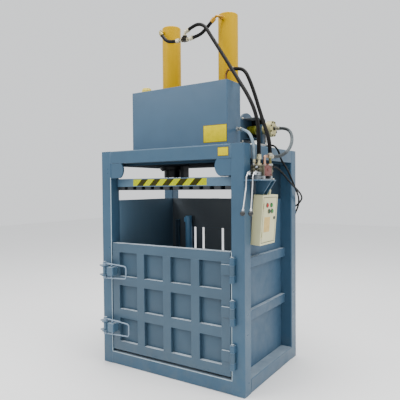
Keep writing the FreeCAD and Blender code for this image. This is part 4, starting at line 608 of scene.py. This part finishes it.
# ---------------------------------------------------------------- operators
class BALER_OT_paint(bpy.types.Operator):
    """Paint and plate every piece of the machine"""
    bl_idname = "baler.paint"
    bl_label = "Paint the machine"

    def execute(self, context):
        paint = context.scene.baler_paint
        wear_and_edge_highlight = paint.wear_and_edge_highlight
        frame_paint = painted_steel("frame paint", paint.frame, 0.34, wear_and_edge_highlight, ledges=0.36,
                                    gloss_tint=(0.88, 0.96, 1.0))
        dress(frame_paint, "post_front_left", "post_front_right", "post_rear_left", "post_rear_right",
              "top_beams", "base_beams", "corner_gussets", "top_cover", "hinge_knuckles", "latch_lugs",
              "valve_shelf")
        # Painted shade: the deck, seen from below, gets a dark matt copy of the frame paint.
        dress(painted_steel("deck paint", paint.frame, 0.8, wear_and_edge_highlight, shade=0.45, gloss=0.1), "cylinder_deck")
        left, right, rear = MOTOR_FACE - 0.002, GUARD_END + 0.002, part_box("drive_base")[1].y
        front, roof = DRIVE_Y - 0.0785, DRIVE_Z + 0.0895
        # Painted shade: near-black inside the coupling guard, under its top sheet, which is painted a paler
        # grey.
        guard = (((left, front, DRIVE_Z - 0.0705), (right, rear - 0.0055, roof), srgb(14, 20, 28)),
                 ((left, front - 0.01, roof), (right, rear, roof + 0.010), srgb(122, 130, 140)))
        dress(painted_steel("drive base paint", paint.frame, 0.42, wear_and_edge_highlight, gloss=0.4, dark_under=0.0,
                            regions=guard), "drive_base")
        # Painted light: the walls get a lighter colour inside the chamber than outside.
        chamber = (-0.5505, -0.40, 0.13), (0.5505, 0.3705, 1.3225)
        for name, painted_light_inside, nodes in (
                ("panel paint", srgb(84, 92, 98), ("wall_right", "wall_rear", "rear_slot_bars")),
                ("left wall paint", srgb(90, 118, 140), ("wall_left",))):
            dress(painted_steel(name, paint.panel, 0.46, wear_and_edge_highlight, 0.3, gloss=0.4,
                                regions=((*chamber, painted_light_inside),), ledges=0.5), *nodes)
        # Painted light: the rear uprights get the frame paint lightened almost four times, and their flat
        # strip a colour near the frame paint.
        flat = (((-OPENING_HALF, 0.25, 0.0), (-0.43, 0.40, 1.3), srgb(44, 62, 78)),)
        dress(painted_steel("upright paint", paint.frame, 0.40, wear_and_edge_highlight, shade=3.8, regions=flat),
              "rear_uprights")
        dress(painted_steel("floor paint", paint.panel, 0.5, 0.8, 1.0, 0.8), "chamber_floor")
        door_paint = painted_steel("door paint", paint.door, 0.36, wear_and_edge_highlight, gloss=0.45, ledges=0.95)
        dress(door_paint, "door_panel", "door_hinge_leaves", "door_keepers", "pivot_pins")
        # Painted highlight: the latches get a lighter copy of the door paint, and their bail wires a pale
        # blue.
        pale = srgb(122, 142, 162)
        for node, centre in zip(("latch_upper", "latch_lower"), LATCH_HEIGHTS):
            low, high = centre - 0.09, centre + 0.09
            wire = [((left, -0.56, z0), (-0.30, -0.50, z1), pale) for left, z0, z1 in (
                (-0.60, centre + 0.043, high), (-0.60, low, centre - 0.043), (-0.46, low, high))]
            dress(painted_steel(node + " paint", paint.door, 0.36, 0.8, 0.5, 1.45, regions=wire, ledges=0.4),
                  node)
        # Painted light: the platen gets the door paint lightened by two thirds.
        dress(painted_steel("platen paint", paint.door, 0.42, wear_and_edge_highlight, 0.4, 1.65), "platen_plate")
        # Painted shade: the platen bars, recessed under the plate, get the door paint darkened almost to
        # black; the stop gets the same.
        dress(painted_steel("platen bar paint", paint.door, 0.46, 0.7, 0.6, 0.11),
              "platen_bars", "platen_stop")
        dress(painted_steel("cylinder paint", paint.cylinder, 0.40, 0.05, 0.03, gloss=0.25,
                            cloudy=0.35, gloss_tint=(1.0, 0.72, 0.10)),
              "cylinder_left", "cylinder_right")
        dress(painted_steel("gland paint", srgb(22, 24, 28), 0.36, 0.3, 0.3, gloss=0.3), "cylinder_heads")
        # The tank's high edge setting makes the painted highlight on its edges strong.
        dress(painted_steel("tank paint", paint.tank, 0.38, 0.8, 0.35, gloss=0.4), "oil_tank")
        dress(painted_steel("box paint", paint.box, 0.46, 0.1, 0.15), "control_box", "control_door")
        dress(painted_steel("motor paint", paint.frame, 0.48, 0.4, 0.6, 0.7), "motor")
        dress(painted_steel("coupling paint", srgb(112, 116, 18), 0.40, 0.3, 1.0), "drive_coupling")
        dress(cast_metal("pump casting", srgb(186, 178, 128), 0.5, 0.2), "gear_pump")
        dress(polished_chrome("rod chrome"), "piston_rod_left", "piston_rod_right")
        dress(bare_steel("plated steel", srgb(176, 176, 174), 0.30), "suction_pipe")
        dress(bare_steel("port pipe steel", srgb(128, 92, 52), 0.40), "lower_port_pipe")
        dress(bare_steel("lock steel", srgb(86, 88, 90), 0.30), "key_lock")
        top = FRAME_TOP
        cream, pink, olive = srgb(206, 198, 156), srgb(224, 176, 146), srgb(120, 112, 62)
        grey = srgb(74, 76, 72)
        fittings = plated_fittings("fitting plating", srgb(190, 194, 192), (
            (CYLINDER_PORTS[0], 0.16, srgb(138, 126, 66)),
            (CYLINDER_PORTS[1], 0.16, srgb(172, 126, 14)),
            ((0.703, -0.350, top - 0.110), 0.045, cream), ((0.710, -0.250, top - 0.105), 0.050, pink),
            ((0.744, -0.255, top - 0.110), 0.032, olive), ((0.570, 0.250, top + 0.172), 0.035, grey)))
        dress(fittings, "hose_fittings")
        dress(plated_fittings("tee plating", srgb(196, 188, 160), (
            ((-0.035, -0.150, top + 0.885), 0.034, srgb(8, 8, 7)),), 0.08), "hose_tee")
        dress(moulded("stop button red", srgb(176, 8, 6), 0.28), "button_stop")
        dress(moulded("start button green", srgb(4, 120, 44), 0.28), "button_start", "button_up")
        dress(moulded("button dark green", srgb(4, 58, 26), 0.28), "button_down")
        return {"FINISHED"}


class BALER_OT_hoses(bpy.types.Operator):
    """Lay the hydraulic hoses and the control cable along their routes"""
    bl_idname = "baler.hoses"
    bl_label = "Lay the hoses"

    def execute(self, context):
        sizes = context.scene.baler_hoses
        black = hose_rubber("hose cover", srgb(9, 8, 8))
        pressure_route = route_points("hose_pressure")
        oily = ((tuple(pressure_route[0]), 0.10), (tuple(pressure_route[-1]), 0.20))
        braid = hose_rubber("braided cover", srgb(104, 112, 116), 420.0, oily)
        pale = hose_rubber("return hose cover", srgb(116, 132, 144))
        sheath = hose_rubber("cable sheath", srgb(6, 7, 8))
        covers = {"hose_pressure": (sizes.pressure, braid, "braid_steel"),
                  "hose_tank": (sizes.return_hose, pale, "pale_hose"),
                  "control_cable": (sizes.cable, sheath, "hose_rubber")}
        ends = {"hose_left_cylinder": "fitting"}
        for name in HOSE_ROUTES:
            route = route_points(name)
            diameter, cover, slot = covers.get(name, (sizes.hose, black, "hose_rubber"))
            curve = bpy.data.curves.new(name + "_line", "CURVE")
            curve.dimensions = "3D"
            curve.bevel_depth = diameter / 2
            curve.bevel_resolution = 6
            curve.resolution_u = 10
            curve.use_fill_caps = True
            spline = curve.splines.new("NURBS")
            spline.points.add(len(route) - 1)
            for point, place in zip(spline.points, route):
                point.co = (*place, 1.0)
            spline.order_u = 3
            spline.use_endpoint_u = True
            curve.materials.append(cover)
            piece = bpy.data.objects.new(name + "_cover", curve)
            context.scene.collection.objects.link(piece)
            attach(piece, "frame")
            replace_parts(piece, name)
            tuple(route[0])
            ends.get(name, "object")
        return {"FINISHED"}


class BALER_OT_crimps(bpy.types.Operator):
    """Crimp a ridged sleeve on each end of the hydraulic hoses"""
    bl_idname = "baler.crimps"
    bl_label = "Crimp the hose ends"

    def execute(self, context):
        sizes = context.scene.baler_hoses
        sleeve_zinc = plated_fittings("sleeve plating", srgb(196, 190, 164), (
            (CYLINDER_PORTS[1], 0.16, srgb(172, 126, 14)), (CYLINDER_PORTS[0], 0.16, srgb(172, 158, 84))))
        crimps = Metalwork("hose_crimps", sleeve_zinc)
        diameters = {"hose_pressure": sizes.pressure, "hose_tank": sizes.return_hose}
        ridges = 5
        for name, lengths in SLEEVES.items():
            route = route_points(name)
            radius = diameters.get(name, sizes.hose) / 2 + 0.003
            for tip, inner, length in zip((route[0], route[-1]), (route[1], route[-2]), lengths):
                proud, sunk, groove = radius + 0.0004, radius - 0.0006, length * 0.8 / ridges
                profile = [(0.0, radius - 0.0005), (0.0005, proud)]
                for ridge in range(ridges):
                    begin = length * 0.14 + groove * ridge
                    profile += [(begin, proud), (begin + groove * 0.2, sunk),
                                (begin + groove * 0.6, sunk), (begin + groove * 0.8, proud)]
                profile += [(length * 0.97, proud), (length, radius + 0.0001)]
                crimps.turned(profile, tip, tip - inner, 28)
        crimps.finish("frame", "fitting_steel")
        return {"FINISHED"}


class BALER_OT_tape(bpy.types.Operator):
    """Stick the hazard tape along the front of the platen"""
    bl_idname = "baler.tape"
    bl_label = "Stick the hazard tape"

    def execute(self, context):
        trim = context.scene.baler_trim
        front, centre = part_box("platen_plate")[0].y, middle("platen_plate").z
        z0, z1 = centre - trim.tape_height / 2, centre + trim.tape_height / 2
        film = striped_tape("hazard film", trim.tape_left, trim.tape_right, z0, z1, trim.stripes)
        tape = Metalwork("hazard_tape", film)
        tape.block((trim.tape_left, front - trim.tape_thickness, z0), (trim.tape_right, front, z1),
                   0, trim.tape_thickness / 4)
        tape.finish("platen", "platen_paint")
        return {"FINISHED"}


class BALER_OT_labels(bpy.types.Operator):
    """Place the bare yellow label plates on the tank and the front beam"""
    bl_idname = "baler.labels"
    bl_label = "Place the label plates"

    def execute(self, context):
        yellow = plain_label("yellow label", srgb(206, 188, 0))
        border = plain_label("label border", srgb(120, 104, 4))
        labels = Metalwork("label_plates", yellow, border)
        rim = 0.004
        for (x0, x1, z0, z1), carrier in ((TANK_LABEL, "oil_tank"), (BEAM_LABEL, "top_beams")):
            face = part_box(carrier)[0].y
            labels.block((x0, face - 0.0008, z0), (x1, face, z1), 1, 0.0003)
            labels.block((x0 + rim, face - 0.0012, z0 + rim), (x1 - rim, face - 0.0004, z1 - rim), 0, 0.0003)
        labels.finish("frame", "cap_plastic")
        return {"FINISHED"}


class BALER_OT_levers(bpy.types.Operator):
    """Model the two hand levers with their dark knobs"""
    bl_idname = "baler.levers"
    bl_label = "Model the hand levers"

    def execute(self, context):
        steel = bare_steel("lever steel", srgb(232, 234, 236), 0.30)
        knob_black = moulded("knob black", srgb(30, 32, 34), 0.30)
        for node, body, reach in LEVERS:
            pivot = Vector((middle(node).x, *LEVER_PIVOT))
            piece = Metalwork(node + "_dressed", steel, knob_black)
            piece.turned([(0, 0.0088), (0.0008, 0.0100), (0.0106, 0.0100), (0.0114, 0.0088)],
                         pivot - Vector((0.0057, 0, 0)), (1, 0, 0), 28)
            shape = [pivot - Vector((0, ahead, down)) for ahead, down in LEVER_SHAPE]
            knob = pivot - Vector((0, reach, LEVER_DROP))
            piece.swept(shape + [knob], LEVER_BENDS, STEM_RADIUS)
            along = (knob - shape[-1]).normalized()
            piece.turned([(0, 0.0052), (0.003, 0.0078), (0.013, 0.0078), (0.016, 0.0060)],
                         knob - along * 0.032, along, 24)
            ball = []
            for step in range(17):
                angle = math.pi * (0.07 + 0.93 * step / 16)
                ball.append((-KNOB_RADIUS * math.cos(angle), max(0.0004, KNOB_RADIUS * math.sin(angle))))
            piece.turned(ball, knob, along, 32, 1)
            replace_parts(piece.finish(body, "bright_steel"), node)
        return {"FINISHED"}


class BALER_OT_valve_bank(bpy.types.Operator):
    """Model the valve bank: sections, end plates, spool caps, ears and plugs"""
    bl_idname = "baler.valve_bank"
    bl_label = "Model the valve bank"

    def execute(self, context):
        red = cast_metal("valve primer", srgb(104, 56, 50), 0.55)
        olive = cast_metal("end plate iron", srgb(84, 82, 62), 0.5, 0.3)
        pale = bare_steel("foot plate steel", srgb(170, 176, 180), 0.34)
        dark = cast_metal("dark screws", srgb(26, 26, 28), 0.4, 0.5)
        bank = Metalwork("valve_bank", red, olive, pale, dark)
        low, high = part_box("valve_body")
        front, rear = VALVE_ENDS
        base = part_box("valve_shelf")[1].z
        under = base + 0.025        # underside of the sections, on their feet
        seam = (low.x + high.x) / 2
        plate, foot, ear = 0.012, 0.005, 0.012
        for x0, x1 in ((low.x, seam - 0.0015), (seam + 0.0015, high.x)):
            bank.block((x0, front + plate, under), (x1, rear - plate, high.z), 0, 0.0025)
            for y in (front + 0.040, rear - 0.040):
                bank.block((x0 + 0.006, y - 0.0015, high.z - 0.004), (x1 - 0.006, y + 0.0015, high.z), 3,
                           0.0004)
        bank.block((seam - 0.002, front + plate, under + 0.002),
                   (seam + 0.002, rear - plate, high.z - 0.005), 3, 0)
        for y0, y1 in ((front, front + plate), (rear - plate, rear)):
            bank.block((low.x, y0, under), (high.x, y1, high.z), 1, 0.0020)
        for y0, y1 in ((front, front + 0.025), (rear - 0.025, rear)):
            bank.block((low.x, y0, base + 0.004), (high.x, y1, under), 2, 0.0015)
        bank.block((low.x, front - 0.016, base), (high.x, rear + 0.016, base + foot), 2, 0.0010)
        for x in (low.x + 0.012, high.x - 0.012):
            for y in (front - 0.0085, rear + 0.0085):
                bank.bolt((x, y, base + foot), (0, 0, 1), 0.0105, 3)
        for y in (front + 0.026, rear - 0.026):
            for z in (under + 0.010, high.z - 0.012):
                bank.bolt((high.x, y, z), (1, 0, 0), 0.0070, 0)
        bank.turned([(0, 0.0125), (0.004, 0.0125), (0.005, 0.0115)],
                    (high.x, (front + rear) / 2, under + 0.045), (1, 0, 0), 28, 0)
        bank.turned([(0, 0.0095), (0.010, 0.0095), (0.011, 0.0075), (0.018, 0.0070)],
                    (seam, front, high.z - 0.013), (0, -1, 0), 6, 2)
        cap, tail = [[(0, 0.0170), (first, 0.0170), (first + 0.001, 0.0150), (second, 0.0150),
                      (second + 0.001, 0.0125), (end, 0.0115)]
                     for first, second, end in ((0.011, 0.020, 0.028), (0.016, 0.036, 0.045))]
        spool_z = under + 0.036
        pivot_y, pivot_z = LEVER_PIVOT
        outline = [(front, pivot_z + ear), (front, pivot_z - ear)]
        for step in range(13):
            turn = math.pi * (1.5 - step / 12)
            outline.append((pivot_y + ear * math.cos(turn), pivot_z + ear * math.sin(turn)))
        for node, _, _ in LEVERS:
            x = middle(node).x
            bank.turned(cap, (x, front, spool_z), (0, -1, 0), 28, 1)
            bank.turned(tail, (x, rear, spool_z), (0, 1, 0), 28, 1)
            bank.turned([(0.028, 0.0065), (0.0285, 0.0065)], (x, front, spool_z), (0, -1, 0), 6, 3)
            for dx in (-0.014, 0.014):
                for dz in (-0.024, 0.024):
                    bank.turned([(0, 0.0042), (0.004, 0.0042), (0.0045, 0.0036)],
                                (x + dx, front, spool_z + dz), (0, -1, 0), 16, 3)
            for near, far in ((-0.011, -0.006), (0.006, 0.011)):
                bank.plate(outline, x + near, x + far, 2)
            bank.turned([(0, 0.0060), (0.0015, 0.0060), (0.0020, 0.0040), (0.0240, 0.0040), (0.0245, 0.0060),
                         (0.0260, 0.0060)], (x - 0.0130, pivot_y, pivot_z), (1, 0, 0), 18, 3)
        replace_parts(bank.finish("frame", "valve_iron"), "valve_body")
        return {"FINISHED"}


class BALER_OT_cap(bpy.types.Operator):
    """Model the fluted filler cap on the tank"""
    bl_idname = "baler.filler_cap"
    bl_label = "Model the filler cap"

    def execute(self, context):
        plastic = moulded("cap plastic", srgb(216, 194, 70), 0.42)
        low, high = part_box("filler_cap")
        radius, height = (high.x - low.x) / 2, high.z - low.z
        foot = middle("filler_cap") - Vector((0, 0, height / 2))
        cap = Metalwork("filler_cap_dressed", plastic)
        flutes = 36
        profile = [(0.0, 0.965), (0.06, 1.0), (0.62, 1.0), (0.70, 0.90), (0.94, 0.86), (1.0, 0.78)]
        rings = []
        for along, share in profile:
            ring = []
            for step in range(flutes * 2):
                depth = 1.0 if step % 2 or along > 0.65 else 0.965
                angle, reach = math.pi * step / flutes, radius * share * depth
                offset = Vector((reach * math.cos(angle), reach * math.sin(angle), height * along))
                ring.append(cap.mesh.verts.new(foot + offset))
            rings.append(ring)
        cap.skin(rings)
        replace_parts(cap.finish("filler_cap", "cap_plastic", 25.0), "filler_cap")
        return {"FINISHED"}


class BALER_OT_bolts(bpy.types.Operator):
    """Fit the bolts of the shelf, motor and pump"""
    bl_idname = "baler.bolts"
    bl_label = "Fit the bolts"

    def execute(self, context):
        across = context.scene.baler_trim.bolt
        zinc = bare_steel("bolt zinc", srgb(200, 198, 190), 0.34)
        dark = cast_metal("dark bolts", srgb(30, 30, 32), 0.42, 0.5)
        machine = Metalwork("frame_bolts", zinc, dark)
        shelf_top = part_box("valve_shelf")[1].z
        for x in (0.668, 0.755):
            machine.bolt((x, -0.232, shelf_top), (0, 0, 1), across * 0.8)
        rail_top, foot_reach = FRAME_TOP + 0.060, 0.068
        for x in (0.095, 0.285):
            for y in (DRIVE_Y - foot_reach, DRIVE_Y + foot_reach):
                machine.bolt((x, y, rail_top), (0, 0, 1), across * 0.9)
        flange_circle, cover_circle = 0.132, 0.056
        for step in range(4):
            turn = math.radians(45 + 90 * step)
            machine.bolt(round_drive(MOTOR_FACE, flange_circle, turn), (1, 0, 0), across * 0.8)
        for step in range(8):
            turn = 2 * math.pi * (step + 0.5) / 8
            machine.turned([(0, 0.0072), (0.0055, 0.0072), (0.0060, 0.0064)],
                           round_drive(PUMP_END - 0.006, cover_circle, turn), (1, 0, 0), 6, 1)
        machine.finish("frame", "bright_steel")
        return {"FINISHED"}


class BALER_OT_welds(bpy.types.Operator):
    """Run weld beads along the joints of the frame, side walls, tank and latch lugs"""
    bl_idname = "baler.welds"
    bl_label = "Run the weld beads"

    def execute(self, context):
        bead = context.scene.baler_trim.bead
        bead_paint = painted_steel("painted bead", context.scene.baler_paint.frame, 0.38, 0.2, 0.3, 1.04)
        runs = Metalwork("frame_weld_beads", bead_paint)
        seams = ((0.008, 0.095), (1.620, 1.707))        # joints of the posts with the beams
        rib_edges, rib_end = (0.468, 0.538, 0.848, 0.918), 0.365
        ground, rear, gusset = FRAME_FRONT - 0.0003, FRAME_REAR - 0.0008, FRAME_FRONT + 0.004
        for side in (-1, 1):
            x, wall = OPENING_HALF * side, (OPENING_HALF + 0.0065) * side
            for z0, z1 in seams:
                runs.block((x - 0.0095, ground, z0), (x + 0.0095, FRAME_FRONT + 0.006, z1), 0, 0.0003)
                runs.bead((x, rear, z0), (x, rear, z1), bead)
            runs.bead((x, gusset, 1.503), (x, gusset, 1.612), bead * 0.8)
            for z in rib_edges:
                runs.bead((wall, -rib_end, z), (wall, rib_end, z), bead * 0.7)
        low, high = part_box("oil_tank")
        foot = FRAME_TOP + 0.001
        for x in (low.x + 0.002, high.x - 0.002):
            runs.bead((x, low.y, foot), (x, high.y, foot), bead)
        runs.bead((low.x, low.y, foot), (high.x, low.y, foot), bead)
        low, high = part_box("latch_lugs")
        left, right, y = low.x + 0.004, high.x - 0.004, FRAME_FRONT - 0.0002
        for centre in LATCH_HEIGHTS:
            for offset in (-0.042, -0.032, 0.032, 0.042):
                runs.bead((left, y, centre + offset), (right, y, centre + offset), bead * 0.6)
        runs.finish("frame", "frame_paint", 60.0)
        return {"FINISHED"}


class BALER_OT_edging(bpy.types.Operator):
    """Lay pale strips of painted highlight along the edges of the frame round the feed opening"""
    bl_idname = "baler.edging"
    # The strips that this step lays are a painted highlight.
    bl_label = "Rub the opening's edges"

    def execute(self, context):
        # Painted highlight: the pale strips stand for the light caught by the rounded edges of the opening.
        rubbed = painted_steel("rubbed paint", srgb(168, 190, 204), 0.34, 0.2, 0.8, gloss=0.6)
        edging = Metalwork("opening_edges", rubbed)
        base_top, beam_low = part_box("base_beams")[1].z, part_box("top_beams")[0].z
        proud, inner, wide = FRAME_FRONT - 0.0003, FRAME_FRONT + 0.004, 0.0042
        for side, top in ((-1, beam_low - 0.11), (1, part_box("door_panel")[1].z)):
            near, far = sorted((OPENING_HALF * side, (OPENING_HALF + wide) * side))
            edging.block((near, proud, base_top - 0.004), (far, inner, top), 0, 0.0003)
        edging.block((-OPENING_HALF, proud, base_top - wide), (OPENING_HALF, inner, base_top), 0, 0.0003)
        edging.finish("frame", "frame_paint")
        return {"FINISHED"}


class BALER_OT_pressings(bpy.types.Operator):
    """Set the pressed panels in the pockets of the door, and the guard plate behind the valve bank"""
    bl_idname = "baler.pressings"
    bl_label = "Set the pressed panels"

    def execute(self, context):
        paint = context.scene.baler_paint
        low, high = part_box("door_panel")
        pocket_paint = painted_steel("pocket paint", paint.door, 0.44, paint.wear_and_edge_highlight, gloss=0.4, shade=0.94)
        panels = Metalwork("door_pocket_panels", pocket_paint)
        width = (high.x - low.x - (DOOR_COLUMNS + 1) * DOOR_RAIL) / DOOR_COLUMNS
        height = (high.z - low.z - (DOOR_ROWS + 1) * DOOR_RAIL) / DOOR_ROWS
        lap = 0.0004        # how far a panel runs into the rails round it
        for column in range(DOOR_COLUMNS):
            x = low.x + DOOR_RAIL + column * (width + DOOR_RAIL)
            for row in range(DOOR_ROWS):
                z = low.z + DOOR_RAIL + row * (height + DOOR_RAIL)
                panels.block((x - lap, POCKET_FACE, z - lap), (x + width + lap, DOOR_SKIN, z + height + lap),
                             0, 0.0025)
        panels.finish("door", "door_paint")
        # Painted shade: this plate under the top beam gets a dark copy of the frame paint.
        guard_paint = painted_steel("guard paint", paint.frame, 0.6, paint.wear_and_edge_highlight, shade=0.30, gloss=0.2)
        guard = Metalwork("side_guard_plate", guard_paint)
        low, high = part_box("wall_right")
        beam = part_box("top_beams")[0].z
        guard.block((low.x, low.y, high.z), (low.x + 0.004, high.y, beam), 0, 0.0008)
        guard.finish("frame", "panel_paint")
        return {"FINISHED"}


class BALER_OT_panel_trim(bpy.types.Operator):
    """Finish the control door with blank legend plates, button rings and a bare sign plate"""
    bl_idname = "baler.panel_trim"
    bl_label = "Finish the control panel"

    def execute(self, context):
        ring_black = moulded("ring black", srgb(32, 32, 34), 0.3)
        plate = plain_label("legend plate", srgb(206, 204, 196))
        sign = plain_label("sign plate", srgb(206, 176, 112))
        trim = Metalwork("control_door_trim", ring_black, plate, sign)
        out = BOX_LEAN.to_3x3() @ Vector((1, 0, 0))
        thick = BOX_FACE + 0.0008
        ring = [(0, 0.0172), (0.0030, 0.0172), (0.0044, 0.0164), (0.0044, 0.0146), (0.0034, 0.0142)]
        for y, z in BUTTONS:
            trim.turned(ring, BOX_LEAN @ Vector((BOX_FACE, y, z)), out, closed=True)
            trim.block((BOX_FACE, y - 0.017, z + 0.0180), (thick, y + 0.017, z + 0.0225), 1, 0.0002,
                       BOX_LEAN)
        y0, y1, z0, z1 = SIGN
        trim.block((BOX_FACE, y0, z0), (thick, y1, z1), 2, 0.0002, BOX_LEAN)
        trim.finish("control_door", "box_paint")
        gasket = Metalwork("control_box_gasket", moulded("door gasket", srgb(70, 72, 62), 0.6))
        y0, y1, z0, z1 = CONTROL_DOOR
        wide, gap = 0.004, 0.0006
        strips = ((y0 - wide, y1 + wide, z0 - wide, z0 - gap), (y0 - wide, y1 + wide, z1 + gap, z1 + wide),
                  (y0 - wide, y0 - gap, z0, z1), (y1 + gap, y1 + wide, z0, z1))
        for near, far, low, high in strips:
            gasket.block((BOX_FACE - 0.001, near, low), (thick, far, high), 0, 0.0002, BOX_LEAN)
        gasket.finish("frame", "box_paint")
        return {"FINISHED"}


class BALER_OT_motor_trim(bpy.types.Operator):
    """Add the fan cowl grille and terminal lid to the motor"""
    bl_idname = "baler.motor_trim"
    bl_label = "Finish the motor"

    def execute(self, context):
        paint = context.scene.baler_paint
        cowl_paint = painted_steel("cowl paint", paint.frame, 0.45, 0.3, 0.5, 0.62)
        dark = moulded("cowl shadow", srgb(16, 18, 20), 0.6)
        trim = Metalwork("motor_trim", cowl_paint, dark)
        for ring in range(4):
            radius, holes = 0.030 + 0.024 * ring, 8 + 6 * ring
            for step in range(holes):
                trim.turned([(0, 0.0058), (0.0012, 0.0058)],
                            round_drive(-0.0010, radius, 2 * math.pi * step / holes), (1, 0, 0), 12, 1)
        lid = 0.0945
        trim.block((0.056, lid, 1.838), (0.164, lid + 0.004, 1.936), 0, 0.0015)
        for x in (0.064, 0.156):
            for z in (1.846, 1.928):
                trim.turned([(0, 0.0042), (0.003, 0.0040)], (x, lid, z), (0, -1, 0), 16, 1)
        trim.finish("frame", "motor_paint")
        return {"FINISHED"}


class BALER_OT_stage(bpy.types.Operator):
    """Set up the floor, the soft lights and the camera"""
    bl_idname = "baler.stage"
    bl_label = "Set up the stage"

    def execute(self, context):
        stage = context.scene.baler_stage
        finish = Finish("studio floor")
        soft = finish.noise(0.8, 2.0)
        data = bpy.data.meshes.new("studio_floor")
        reach = 14.0
        corners = [(-reach, -reach, 0), (reach, -reach, 0), (reach, reach, 0), (-reach, reach, 0)]
        data.from_pydata(corners, [], [(0, 1, 2, 3)])
        data.materials.append(finish.set(
            Base_Color=finish.mix(soft, tinted(stage.floor, 0.98), tuple(stage.floor)),
            Roughness=finish.ramp(soft, 0.3, 0.7, 0.62, 0.72)))
        floor = bpy.data.objects.new("studio_floor", data)
        context.scene.collection.objects.link(floor)

        world = bpy.data.worlds.new("studio_light")
        world.use_nodes = True
        sky = world.node_tree.nodes["Background"].inputs
        sky["Color"].default_value = (0.96, 0.98, 1.0, 1.0)
        sky["Strength"].default_value = 1.15
        context.scene.world = world
        self.softbox("key_light", (-3.0, -4.2, 4.8), 170.0, 3.0)
        self.softbox("side_light", (4.4, -0.4, 5.0), 130.0, 2.6)
        self.softbox("top_light", (0.3, -0.2, 6.0), 330.0, 3.2)
        self.camera(stage)
        return {"FINISHED"}

    def softbox(self, name, place, power, size):
        lamp = bpy.data.lights.new(name, "AREA")
        lamp.energy = power
        lamp.size = size
        lamp.color = (1.0, 0.985, 0.965)
        piece = bpy.data.objects.new(name, lamp)
        aim = Vector((0, 0, 1.2)) - Vector(place)
        piece.location = place
        piece.rotation_euler = aim.to_track_quat("-Z", "Y").to_euler()
        bpy.context.scene.collection.objects.link(piece)

    def camera(self, stage):
        lens = bpy.data.cameras.new("photo_camera")
        lens.sensor_width = 36.0
        lens.lens = stage.lens
        camera = bpy.data.objects.new("photo_camera", lens)
        camera.matrix_world = (
            Matrix.Translation(stage.camera_place) @ Matrix.Rotation(stage.yaw, 4, "Z")
            @ Matrix.Rotation(math.pi / 2 + stage.pitch, 4, "X") @ Matrix.Rotation(stage.roll, 4, "Z"))
        bpy.context.scene.collection.objects.link(camera)
        bpy.context.scene.camera = camera


OPERATORS = (BALER_OT_stage, BALER_OT_paint, BALER_OT_hoses, BALER_OT_crimps, BALER_OT_tape,
             BALER_OT_labels, BALER_OT_levers, BALER_OT_valve_bank, BALER_OT_cap, BALER_OT_bolts,
             BALER_OT_welds, BALER_OT_edging, BALER_OT_pressings, BALER_OT_panel_trim,
             BALER_OT_motor_trim)


class BALER_PT_sidebar(bpy.types.Panel):
    """Settings and steps of the baler dressing"""
    bl_label = "Baler"
    bl_idname = "BALER_PT_sidebar"
    bl_space_type = "VIEW_3D"
    bl_region_type = "UI"
    bl_category = "Baler"

    def draw(self, context):
        for name in SETTINGS:
            settings = getattr(context.scene, name)
            column = self.layout.column(align=True)
            for key in type(settings).__annotations__:
                column.prop(settings, key)
        for operator in OPERATORS:
            self.layout.operator(operator.bl_idname)


def register():
    for name, group in SETTINGS.items():
        bpy.utils.register_class(group)
        setattr(bpy.types.Scene, name, PointerProperty(type=group))
    for operator in OPERATORS:
        bpy.utils.register_class(operator)
    bpy.utils.register_class(BALER_PT_sidebar)


def unregister():
    bpy.utils.unregister_class(BALER_PT_sidebar)
    for operator in reversed(OPERATORS):
        bpy.utils.unregister_class(operator)
    for name, group in SETTINGS.items():
        delattr(bpy.types.Scene, name)
        bpy.utils.unregister_class(group)


def main():
    register()
    bpy.ops.baler.stage()
    bpy.ops.baler.paint()
    bpy.ops.baler.hoses()
    bpy.ops.baler.crimps()
    bpy.ops.baler.tape()
    bpy.ops.baler.labels()
    bpy.ops.baler.levers()
    bpy.ops.baler.valve_bank()
    bpy.ops.baler.filler_cap()
    bpy.ops.baler.bolts()
    bpy.ops.baler.welds()
    bpy.ops.baler.edging()
    bpy.ops.baler.pressings()
    bpy.ops.baler.panel_trim()
    bpy.ops.baler.motor_trim()


if __name__ == "__main__":
    main()
